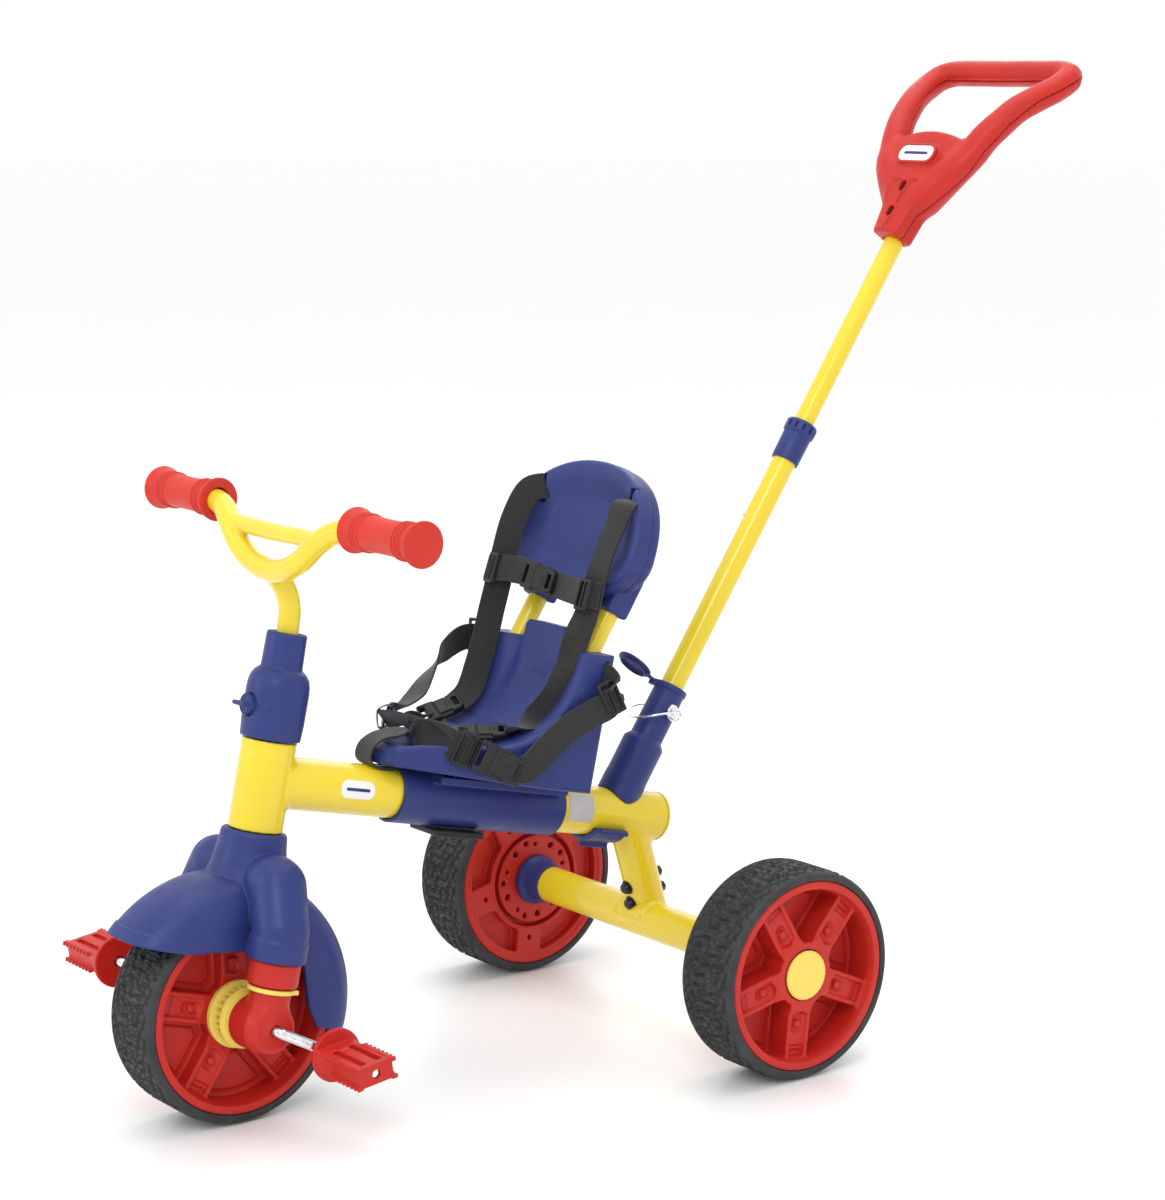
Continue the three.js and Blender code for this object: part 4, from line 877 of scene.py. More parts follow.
# ---- Handlebar ----
def build_handlebar():
    half = [(28, -424, 497.2), (52, -423, 508.5), (72, -420.5, 524.5), (90, -415, 535.5), (112, -409.5, 540.5),
            (150, -407.5, 541.5), (204, -407.5, 541.5)]
    right = [(-x, y, z) for x, y, z in reversed(half)]
    bar = pipe(smooth_path(right + [(0, -424, 493)] + half, 9), 10.5)
    brace = pipe([(-76, -419, 528), (0, -419, 526.5), (76, -419, 528)], 7.8)
    stem_route = [(0, -409.2, 424.5), (0, -406.2, 440), (0, -404.5, 458), (0, -409, 475), (0, -418, 488)]
    stem = pipe(smooth_path(stem_route, 5), 10.2)
    from_axle = shift(0, 479.5, -100)
    moulded("handlebar_tube", moved(union(bar, brace, stem, k=2.5), from_axle), (-216, 42, 320), (216, 95, 456), 1.3,
            FRONT, "steering", YELLOW, "handlebar")

    inner, outer, bore, rib = 115, 219, 11.2, 2.4
    flare = [(19.3, 0), (20.3, 1.1), (20.1, 2.6), (18.7, 5.2), (17.3, 8.6), (16.4, 12)]
    profile = [(bore, inner)] + [(r, inner + along) for r, along in flare]
    for start, way in ((inner + 13, 1), (outer - 13 - 6 * rib, -1)):
        if way < 0:
            profile += [(15.6, inner + 34), (15.2, (inner + outer) / 2), (15.6, outer - 34)]
        for i in range(3):
            base = start + i * 2 * rib
            profile += [(15.9, base), (17.3, base + 0.7), (17.3, base + rib - 0.4), (15.9, base + rib + 0.3)]
    profile += [(r, outer - 0.1 - along) for r, along in reversed(flare)]
    profile += [(0, outer), (0, outer - 3.4), (bore, outer - 3.4)]
    grip = lathe(profile, 96, 0.55, closed=True)
    middle = FRONT @ from_axle @ shift(0, -407.5, 541.5)
    for side, _, flip in SIDES:
        piece(f"grip_{side}_ribbed", grip, middle @ flip @ ALONG_X, "steering", SOFT_RED, f"grip_{side}", sharp=40)

    body = turned([(0, 247.4), (26.4, 247.4), (27.4, 262), (27.5, 290), (27, 296.5), (25.4, 302), (22.8, 306),
                   (19.2, 308.8), (17.9, 310.4), (17.3, 340.6), (16.5, 341.6), (0, 341.6)], edge=1.0)
    mouth = cylinder(12.4, 336, 350)
    tab = moved(rounded_box((4.6, 2, 3.2), 0.8, (0, -27.4, 275)), spun(38, "Z"))
    recess = moved(cylinder(10.4, -60, -27, axis=1), shift(0, 0, 275))
    shape = cut(union(body, tab, k=0.8), recess, mouth, k=0.8)
    moulded("handlebar_sleeve_bottle", shape, (-30, -32, 244), (30, 30, 345), 1.05, STEERING, "steering", BLUE,
            "handlebar_sleeve")
    disc = cylinder(9.8, -31.8, -19, axis=1, edge=0.8)
    groove = cut(cylinder(8.6, -40, -31.2, axis=1), cylinder(7.8, -50, -20, axis=1))
    wing = rounded_box((9.4, 5, 2.0), 1.5, (0, -35.2, 0))
    knob = union(cut(disc, groove, k=0.3), wing, k=1.5)
    moulded("lock_knob_wing", knob, (-12, -42, -12), (12, -18, 12), 0.7,
            STEERING @ shift(0, 0, 275), "lock_knob", BLUE, "lock_knob")


# ---- Seat. In the main tube's frame Y points backwards, so forward distances are negated ----
def build_sleeve():
    rear, front = 134, 324
    wrap = cylinder(27.8, -front, -rear, axis=1, edge=0.9)
    saddle = rounded_box((35, 75, 8), 1.6, (0, -(rear + 82), 24))
    step = rounded_box((29, 60, 3), 1.2, (0, -(rear + 88), 31.0))
    slit = rounded_box((60, 40, 2.0), 0.6, (0, -250, 25.4))
    shape = cut(union(wrap, saddle, k=3), slit, k=0.5)
    ribs = [rounded_box((33.6, 1.1, 7), 0.6, (0, -place_y, 25)) for place_y in range(176, 277, 20)]
    shape = union(shape, *ribs, k=0.5)
    shape = cut(shape, cylinder(24.6, -400, 0, axis=1), k=0.4)
    shape = cut(shape, moved(step, shift(0, 0, 30)))
    moulded("seat_sleeve_clamp", shape, (-37, -326, -30), (37, -130, 34), 1.2, BEAM, "seat", BLUE, "seat_sleeve")
    plate = rounded_box((22, 28, 3), 1.2, (0, -250, -31.3))
    head = cylinder(4.4, -35.4, -33, edge=0.8)
    bolts = [moved(head, shift(x, y, 0)) for x in (-10, 10) for y in (-266, -234)]
    moulded("clamp_plate_bolted", union(plate, *bolts, k=0.4), (-24, -280, -38), (24, -220, -26), 0.9, BEAM,
            "seat", BLACK, "clamp_plate")


def smoothstep(low, high, value):
    t = np.clip((value - low) / (high - low), 0, 1)
    return t * t * (3 - 2 * t)


POST_LEAN = math.radians(20.5)
POST_WAY = Vector((0, math.sin(POST_LEAN), math.cos(POST_LEAN)))
POST_X = 56


def on_post(sign, reach):
    """A point on a headrest post, from where it leaves the seat back."""
    return Vector((sign * POST_X, -161.3, 161.5)) + POST_WAY * reach


def seat_field():
    """The bucket: a wedge-nosed pan and a back, hollowed to fit a child."""
    top = [(352, 33), (349, 40), (340, 46.5), (322, 51), (300, 54), (272, 57.5), (250, 62), (234, 69), (220, 80),
           (209, 96), (201, 114), (194, 136), (190, 157)]
    side = polygon(top + [(156, 159), (156, 27), (350, 27)])
    crown = polygon(top + [(189, 230), (60, 230), (60, -80), (360, -80)])
    widths = [(356, 6), (351, 17), (342, 28), (325, 37), (300, 48), (270, 62), (240, 76), (215, 84), (190, 87),
              (150, 88)]
    reach, half = [a for a, _ in widths[::-1]], [w for _, w in widths[::-1]]
    plan = polygon([(a, w) for a, w in widths] + [(a, -w) for a, w in widths[::-1]])

    def field(p):
        x, a, h = p[:, 0], -p[:, 1], p[:, 2]
        share = np.abs(x) / np.interp(a, reach, half)
        on_back = smoothstep(60, 120, h)
        depth = (4.5 + 11.5 * on_back) * (1 - smoothstep(0.45, 0.97, share))
        depth *= smoothstep(352, 315, a)
        ridge = np.exp(-((np.abs(x) - 25) / 7.5) ** 2) * 1.6 * smoothstep(96, 130, h)
        scoop = np.exp(-(x / 13) ** 2) * 1.1 * smoothstep(80, 120, h)
        bulge = np.exp(-(x / 20) ** 2) * smoothstep(300, 270, a) * (1 - on_back)
        upper = crown(a, h) + depth - ridge + scoop - bulge
        return np.maximum(corner(side(a, h), plan(a, x), 4.5), upper)

    return field


def build_seat():
    bucket = seat_field()
    tab = extruded([(-33, 130), (33, 130), (30.5, 171), (27, 175.4), (-27, 175.4), (-30.5, 171)], -178, -158,
                   axes=(0, 2, 1), edge=2)
    tools = [rounded_box((9, 1.8, 13.5), 1, (sign * 88, -165, 139)) for sign in (-1, 1)]
    tools += [pipe([on_post(sign, 6), on_post(sign, 100)], 10) for sign in (-1, 1)]
    back_ribs = [rounded_box((1.2, 6, 60), 0.5, (x, -154, 90)) for x in (-60, -30, 0, 30, 60)]
    under = rounded_box((38, 60, 11), 4, (0, -232, 22))
    shape = union(bucket, tab, k=6)
    shape = cut(shape, *tools, under, cylinder(25.2, -400, -100, axis=1), k=0.8)
    shape = union(shape, common(union(*back_ribs), rounded_box((80, 40, 60), 2, (0, -160, 92))), k=0.6)
    moulded("seat_bucket", shape, (-90, -356, 20), (90, -148, 180), 1.35, BEAM, "seat", BLUE, "seat_shell")
    for side, sign, _ in SIDES:
        ends = [tuple(on_post(sign, -8)), tuple(on_post(sign, 90))]
        piece(f"headrest_post_{side}_tube", rod(ends, 9.6, 20, 64), BEAM, "seat", YELLOW,
              f"headrest_post_{side}")


def build_headrest():
    centre_h, wide, above, below = 252, 103, 84, 47
    turns = np.linspace(0, TAU, 72, endpoint=False)
    outline = [(wide * math.copysign(abs(math.cos(t)) ** 0.94, math.cos(t)),
                (above if math.sin(t) > 0 else below) * math.copysign(abs(math.sin(t)) ** 0.9, math.sin(t)))
               for t in turns]
    flat = polygon(outline)
    lean = place(Vector((0, -147, centre_h)), math.radians(7))
    wing_reach = 11
    rear, rim, seam, edge = 17, -13, 5, 5

    def shell(p):
        d = flat(p[:, 0], p[:, 2])
        y = p[:, 1] + wing_reach * (p[:, 0] / wide) ** 2
        inset = np.clip(-d / 40, 0, 1)
        dish = 11 * smoothstep(0.1, 1, inset)
        front = (rim + dish) - y
        back = y - (rear + 9 * smoothstep(0, 0.9, inset))
        side = d + 1.1 * (y > seam)
        groove = np.maximum(np.abs(y - seam) - 0.7, -(d + 2.0))
        return np.maximum(corner(side, np.maximum(front, back), edge), -groove)

    body = moved(shell, lean)
    lugs = []
    for sign in (-1, 1):
        turn = Matrix.Translation(on_post(sign, 58)) @ Matrix.Rotation(-POST_LEAN, 4, "X")
        lugs.append(moved(rounded_box((14, 13, 22), 4), turn))
    tools = [rounded_box((3, 12, 14), 1.5, (sign * 69, -161, 302)) for sign in (-1, 1)]
    tools += [pipe([on_post(sign, -70), on_post(sign, 90)], 10) for sign in (-1, 1)]
    shape = cut(union(body, *lugs, k=2.5), *tools, k=0.8)
    moulded("headrest_shell", shape, (-106, -190, 195), (106, -95, 342), 1.35, BEAM, "seat", BLUE, "headrest")


# ---- Handle socket and telescoping tubes ----
PIN_HEIGHT = 115.6
SOCKET_TOP = 139


def build_socket():
    body = [(0, 10), (20, 10), (20, 75.5), (18.6, 78), (15.4, 81.5), (15, SOCKET_TOP - 1.6), (0, SOCKET_TOP - 1)]
    lip = turned([(0, SOCKET_TOP - 5), (16.6, SOCKET_TOP - 5), (16.6, SOCKET_TOP - 0.6), (0, SOCKET_TOP - 0.6)],
                 edge=0.6)
    boss = moved(cylinder(6.4, 14, 16.4, axis=0, edge=0.6), shift(0, 0, PIN_HEIGHT))
    boss = [boss, moved(boss, FLIP_X)]
    hinge = rounded_box((5.2, 2.4, 3.4), 1, (-7.5, -17.2, SOCKET_TOP - 4))
    beam = moved(cylinder(24.5, -200, 200, axis=1), Matrix.Rotation(HANDLE_TILT - BEAM_TILT, 4, "X"))
    foot = turned([(0, 10), (21, 10), (21, 34), (20.6, 38), (0, 38)], edge=0.4)
    shape = union(turned(body, edge=1), lip, foot, *boss, hinge, k=1)
    pin = moved(cylinder(3.2, -40, 40, axis=0), shift(0, 0, PIN_HEIGHT))
    shape = cut(shape, cylinder(12.5, 34, 160), beam, pin, k=0.5)
    moulded("handle_socket_moulding", shape, (-23, -23, 8), (23, 23, 142), 1.1, PUSH, "frame", BLUE,
            "handle_socket")

    wrap = cut(cylinder(30, -92, -52, axis=1, edge=1.4), cylinder(24.6, -200, 0, axis=1))
    lower = rounded_box((35, 30, 11), 1, (0, -72, -25))
    wings = union(rounded_box((31, 17, 2.2), 1.2, (0, -72, -16.5)), rounded_box((2, 17, 6), 1.2, (0, -72, -30)))
    shape = cut(union(common(wrap, lower), common(wings, lower), k=1.5), cylinder(24.6, -200, 0, axis=1))
    moulded("socket_saddle_wing", shape, (-36, -94, -38), (36, -50, -12), 1.0, BEAM, "frame", BLUE,
            "socket_saddle")

    shank = lathe([(0, -21), (2.8, -21), (2.8, 16.6), (6.2, 16.6), (6.2, 19.4), (4.0, 19.6), (4.0, 22.2), (0, 22.6)],
                  48, 0.6)
    curl = rod([(21, 5.6, 3.0), (21.6, 8.6, 1), (21.6, 8.6, -5), (21.4, 5, -8.6), (21.4, -4, -8.2), (21.4, -7.4, -3),
                (21.6, -5, 2), (21, 0, 0)], 1.1, 0.8, 12)
    plate = surface_box((1.6, 12, 12), 0.4)
    pin_mesh = joined(transformed(shank, ALONG_X), transformed(plate, shift(19.9, 0.6, -1.2)), curl)
    piece("lock_pin_head", pin_mesh, PUSH @ shift(0, 0, PIN_HEIGHT), "frame", STEEL, "lock_pin")
    loop = [(23.6, 4, 117), (25.5, -6, 112), (22, -18, 103), (11, -25, 95), (0, -27, 92), (-11, -25, 95),
            (-20, -18, 103), (-23.6, -6, 112), (-23.2, 4, PIN_HEIGHT)]
    piece("pin_bail_wire", rod(loop, 1.1, 1.2, 12), PUSH, "pin_bail", STEEL, "pin_bail")

    hinge_at = Vector((-7.5, -19.2, SOCKET_TOP - 4))
    turn = Matrix.Translation(hinge_at) @ spun(-12, "X")
    turn = turn @ spun(-26, "Z")
    lid = turned([(0, 0.6), (17.9, 0.6), (17.9, 2.4), (15.5, 3.0), (0, 3.4)], edge=0.5)
    skirt = cut(cylinder(15.6, -2.2, 1.2, edge=0.4), cylinder(13.6, -6, 0.9, edge=0.3))
    ring = cut(cylinder(12.6, 2.4, 4.1, edge=0.5), cylinder(11.2, 0, 9))
    tether = rounded_box((3.4, 5.4, 1.0), 0.5, (0, -3.4, 1.4))
    shape = union(moved(union(lid, skirt, ring, k=0.5), shift(0, -24, 0)), tether, k=1)
    moulded("socket_cap_lid", shape, (-20, -44, -4), (20, 3, 5), 0.75, PUSH @ turn, "socket_cap", BLUE, "socket_cap")


HOLE_TURN = math.radians(-40)
BUTTON_HEIGHT = 330
HOLE_PITCH = 55


def round_the_tube(reach, height):
    """A point out from the handle tubes, in the direction of their row of holes."""
    return Vector((reach * math.sin(HOLE_TURN), -reach * math.cos(HOLE_TURN), height))


def build_tubes():
    heights = [BUTTON_HEIGHT + step * HOLE_PITCH for step in (-1, 0, 1)]
    holes = [pipe([round_the_tube(0, height), round_the_tube(30, height)], 3.2) for height in heights]
    lower = cut(cylinder(12, 38, 418, edge=0.6), *holes, k=0.5)
    moulded("handle_lower_pipe", lower, (-12, -12, 38), (12, 12, 418), 1.15, PUSH, "frame", YELLOW,
            "handle_lower_tube")
    upper = lathe([(0, 265), (10.2, 265), (10.2, 735), (0, 735)], 64, 0.6)
    piece("handle_upper_pipe", upper, PUSH, "push_handle", YELLOW, "handle_upper_tube")
    button = lathe([(0, 11.9), (2.7, 11.9), (2.7, 13.0), (2.0, 13.6), (0, 13.8)], 32, 0.6)
    out = round_the_tube(1, 0).to_track_quat("Z", "Y").to_matrix().to_4x4()
    piece("snap_button_dome", button, PUSH @ shift(0, 0, BUTTON_HEIGHT) @ out, "snap_button", STEEL,
          "snap_button")
    body = turned([(0, 397), (13.4, 397), (13.7, 426), (15.3, 428.6), (15.3, 438), (14.4, 439.2), (0, 439.2)],
                  edge=0.8)
    notches = []
    for i in range(12):
        turn = spun(360 * i / 12, "Z")
        notches.append(moved(rounded_box((3.2, 1.2, 3.4), 0.5, (16.6, 0, 433)), turn))
    inner = turned([(0, 380), (12.2, 380), (12.2, 418), (10.7, 419), (10.7, 460), (0, 460)])
    moulded("tube_collar_castellated", cut(body, *notches, inner, k=0.4), (-17, -17, 395), (17, 17, 441), 0.8, PUSH,
            "frame", BLUE, "tube_collar")


# ---- Push handle's grip loop ----
SCREW_HEIGHTS = (678, 708)


def build_handle():
    arm = [(20, -4, 704), (48, -8.6, 739), (57, -7, 758), (64.5, -7, 778), (72.6, -3.6, 798), (79, 2, 818),
           (88, 12, 838), (94, 24, 858), (93, 33.5, 876)]
    cross = [(80, 36.5, 883), (58, 36.2, 883.4), (30, 35.6, 883), (0, 35.4, 882.6)]
    line = smooth_path(arm + cross, 7)
    heights = [650, 655, 700, 735, 762, 776]
    halves = [17.2, 18, 24, 41, 50, 49]

    def hub(p):
        half = np.interp(p[:, 2], heights, halves)
        x, y, z = np.abs(p[:, 0]), p[:, 1], p[:, 2]
        middle = np.interp(z, [655, 735, 778], [-5, -6, -7])
        front = -(y - middle) - np.interp(z, [655, 735, 778], [17.5, 18.5, 15]) + 4.5 * (x / half) ** 2
        back = (y - middle) - np.interp(z, [655, 735, 778], [17.5, 17, 13]) + 5 * (x / half) ** 2
        side = (x - half) * 0.95
        top = z - (776 - 9 * (x / 50) ** 2)
        low = 655 - z
        e = 4
        walls = np.stack([side, np.maximum(front, back), np.maximum(top, low)]) + e
        out = np.maximum(walls, 0)
        return np.minimum(walls.max(0), 0) + np.sqrt((out * out).sum(0)) - e

    loop_line = pipe(line, 0)

    def loop(p):
        folded = np.column_stack([np.abs(p[:, 0]), p[:, 1:]])
        return loop_line(folded) - np.interp(p[:, 2], [700, 760, 830, 880], [17.5, 15.4, 13.6, 13.4])

    panel = extruded([(-12.5, 661), (12.5, 661), (19.5, 716), (-19.5, 716)], -40, -21.6, axes=(0, 2, 1), edge=2.0)
    ridge = rounded_box((2.4, 1.6, 29), 1.2, (0, -22.6, 688))
    badge_rim = extruded(rounded_outline(27, 11.5, 10), -27.4, -15, axes=(0, 2, 1), edge=0.8)
    badge_rim = moved(badge_rim, shift(0, 0, 745))
    badge_well = moved(extruded(rounded_outline(24.4, 9.2, 8), -40, -26.0, axes=(0, 2, 1)),
                       shift(0, 0, 745))
    whole = union(hub, loop, k=9)
    whole = union(cut(whole, panel, k=1.5), ridge, k=1)
    whole = cut(union(whole, badge_rim, k=0.8), badge_well, k=0.4)
    pockets = [moved(rounded_box((4.4, 8, 6.2), 4.2, (0, -24, 0)), shift(0, 0, h))
               for h in SCREW_HEIGHTS]
    pads = [moved(rounded_box((6.2, 2.6, 8.2), 2.4, (0, -21.6, 0)), shift(0, 0, h))
            for h in SCREW_HEIGHTS]
    whole = cut(union(whole, *pads, k=0.8), *pockets, cylinder(10.7, 600, 737), k=0.6)

    def behind(p):
        """Distance in front of the joint between the two half shells, which follows the arms."""
        middle = np.interp(p[:, 2], [655, 735, 760, 797, 832, 858, 880, 900], [-6, -6, -8, -4, 7, 23, 37, 50])
        return (p[:, 1] - middle) * 0.82

    def half_shell(way):
        """One half of the handle, with its share of the groove along the joint."""
        def field(p):
            here, solid = behind(p), whole(p)
            groove = np.maximum(np.abs(here) - 0.8, -(solid + 1.1))
            return np.maximum(np.maximum(solid, -groove), way * here + 0.15)

        return field

    for name, way in (("front", 1), ("back", -1)):
        moulded(f"handle_{name}_shell", half_shell(way), (-106, -32, 652), (106, 55, 900), 1.4, PUSH, "push_handle",
                RED, f"handle_shell_{name}")
    label = slab(rounded_outline(24, 8.8, 8), 1.0)
    forward = spun(90, "X")
    here = PUSH @ shift(0, -26.2, 745) @ forward
    piece("handle_blank_label", label, here, "push_handle", WHITE, slot="red_plastic")
    stripe = slab(rounded_outline(17, 1.6, 1.4), 0.3)
    piece("handle_label_stripe", stripe, here @ shift(0, 0, 0.9), "push_handle", BLUE)
    head = joined(
        lathe([(0, 17.2), (4.1, 17.2), (4.1, 19.6), (3.2, 20.8), (0, 21.2)], 40, 0.6),
        lathe([(0, -8), (2, -8), (2, 17.2), (0, 17.2)], 20, 0.2),
    )
    for name, height in zip(("lower", "upper"), SCREW_HEIGHTS):
        at = PUSH @ shift(0, 0, height) @ forward
        piece(f"handle_screw_{name}_head", head, at, "push_handle", BLACK_STEEL, f"handle_screw_{name}")


def rounded_outline(half_wide, half_high, radius, steps=8):
    """A rectangle with round corners."""
    points = []
    for cx, cy, start in ((1, 1, 0), (-1, 1, 1), (-1, -1, 2), (1, -1, 3)):
        for i in range(steps + 1):
            turn = (start + i / steps) * math.pi / 2
            points.append((cx * (half_wide - radius) + radius * math.cos(turn),
                           cy * (half_high - radius) + radius * math.sin(turn)))
    return points


def slab(outline, thick, inset=0.25):
    """A thin plate with an eased upper edge."""
    n = len(outline)
    ring = np.array(outline, float)
    small = ring * (1 - inset / np.abs(ring).max())
    rows = [(ring, 0), (ring, thick - inset), (small, thick)]
    return np.concatenate([np.column_stack([r, np.full(n, h)]) for r, h in rows]), tube_faces(len(rows), n)


def wrapped_label(name, outline, radius, where, body, material, slot, thick=0.35, middle=0.0):
    """A sticker bent round a tube that lies along Y: its outline is [along, around]."""
    half_along = max(a for a, _ in outline)
    half_round = max(b for _, b in outline)
    flat = polygon(outline)

    def field(p):
        around = (np.arctan2(p[:, 2], p[:, 0]) - middle) * radius
        reach = norm2(p[:, 0], p[:, 2])
        inside = flat(p[:, 1], around)
        return np.maximum(inside, np.maximum(reach - radius - thick, radius - 0.5 - reach))

    turn = np.linspace(-half_round / radius, half_round / radius, 9) + middle
    xs, zs = np.cos(turn) * (radius + 1), np.sin(turn) * (radius + 1)
    low = (min(xs) - 4, -half_along - 1, min(zs) - 2)
    high = (max(xs) + 1, half_along + 1, max(zs) + 2)
    mesh = surface(field, low, high, 0.5 if FINE == 1 else 0.3)
    piece(name, mesh, where, body, material, slot=slot, sharp=0)


# ---- Harness ----
WEB_WIDTH = 25
WEB_THICK = 2.0


def strap(name, route, *nodes, width=WEB_WIDTH):
    """A flat strap through points; each point also gives the direction of its width."""
    path = smooth_path([at for at, _ in route], 3)
    given = np.array([across for _, across in route], float)
    knots = np.array([at for at, _ in route], float)
    nearest = [int(np.argmin(((path - k) ** 2).sum(1))) for k in knots]
    run = np.concatenate([[0], np.cumsum(np.linalg.norm(np.diff(path, axis=0), axis=1))])
    across = np.column_stack([np.interp(run, run[nearest], given[:, k]) for k in range(3)])
    tangent = np.gradient(path, axis=0)
    tangent /= np.linalg.norm(tangent, axis=1)[:, None]
    across -= (across * tangent).sum(1)[:, None] * tangent
    across /= np.linalg.norm(across, axis=1)[:, None]
    face = np.cross(tangent, across)
    steps = 8
    w, t = width / 2, WEB_THICK / 2
    top = [(-w + 2 * w * i / steps, t) for i in range(steps + 1)]
    section = [(-w - 0.25 * t, 0)] + top + [(w + 0.25 * t, 0)] + [(x, -t) for x, _ in top[::-1]]
    cup = 0.5 * np.sin(run / 23.0)
    vertices, weave = [], []
    for i, point in enumerate(path):
        for x, h in section:
            curl = cup[i] * (1 - (x / w) ** 2)
            vertices.append(point + across[i] * x + face[i] * (h + curl))
            weave.append((run[i], x + (0.7 if h < 0 else 0), 0))
    faces = tube_faces(len(path), len(section))
    thing = piece(name, (np.array(vertices), faces), BEAM, "seat", WEBBING, *nodes, sharp=50)
    own = thing.data.attributes.new("weave", "FLOAT_VECTOR", "POINT")
    own.data.foreach_set("vector", np.array(weave).ravel())


def facing(at, along, normal):
    """A frame at a point: X along one direction, Z towards another."""
    x = Vector(along).normalized()
    z = Vector(normal)
    z = (z - x * z.dot(x)).normalized()
    y = z.cross(x)
    turn = Matrix((x, y, z)).transposed().to_4x4()
    return Matrix.Translation(at) @ turn


def slider_shape(length, width, thick=4.2):
    """A plastic strap adjuster: a frame with three bars across it."""
    shape = rounded_box((length / 2, width / 2, thick / 2), 1.6)
    pitch = (length - 4) / 2
    tools = [rounded_box((pitch / 2 - 1.2, width / 2 - 3, thick), 0.9, (side * pitch, 0, 0)) for side in (-0.5, 0.5)]
    at_ends = (-length / 2 + 2, length / 2 - 2)
    ribs = [rounded_box((0.7, width / 2 - 3.2, 0.8), 0.5, (x, 0, thick / 2)) for x in at_ends]
    return union(cut(shape, *tools, k=0.8), *ribs, k=0.5)


def side_release(length, width, thick):
    """A side-release buckle: a socket shell with finger windows, and the prongs' shoulder."""
    shell = extruded([(-6, -width / 2), (length / 2 - 4, -width / 2 + 2.5), (length / 2, -width / 2 + 5),
                      (length / 2, width / 2 - 5), (length / 2 - 4, width / 2 - 2.5), (-6, width / 2)],
                     -thick / 2, thick / 2, edge=2.2)
    shoulder = rounded_box((8, width / 2 - 0.5, thick / 2 - 0.6), 2, (-14, 0, 0))
    windows = [rounded_box((6.5, 4, thick), 1.6, (1.5, s * (width / 2 - 0.5), 0)) for s in (-1, 1)]
    prongs = [rounded_box((7.5, 2.2, thick / 2 - 2.2), 1.4, (0.5, s * (width / 2 - 3), 0)) for s in (-1, 1)]
    eye = rounded_box((2.4, width / 2 - 5, thick), 1.0, (-18, 0, 0))
    far_eye = rounded_box((2.6, width / 2 - 7, thick), 1.0, (length / 2 - 5.5, 0, 0))
    rib = rounded_box((0.8, width / 2 - 9, 0.8), 0.6, (9, 0, thick / 2))
    rib_two = moved(rib, shift(-4, 0, 0))
    body = cut(shell, *windows, far_eye, k=0.8)
    return union(body, cut(shoulder, eye, k=0.6), *prongs, rib, rib_two, k=0.5)


def fitting(name, shape, size, at, along, normal, *nodes):
    """A black plastic fitting on a strap."""
    x, y, z = size
    moulded(name, shape, (-x, -y, -z), (x, y, z), 0.85, BEAM @ facing(at, along, normal), "seat", BLACK, *nodes)


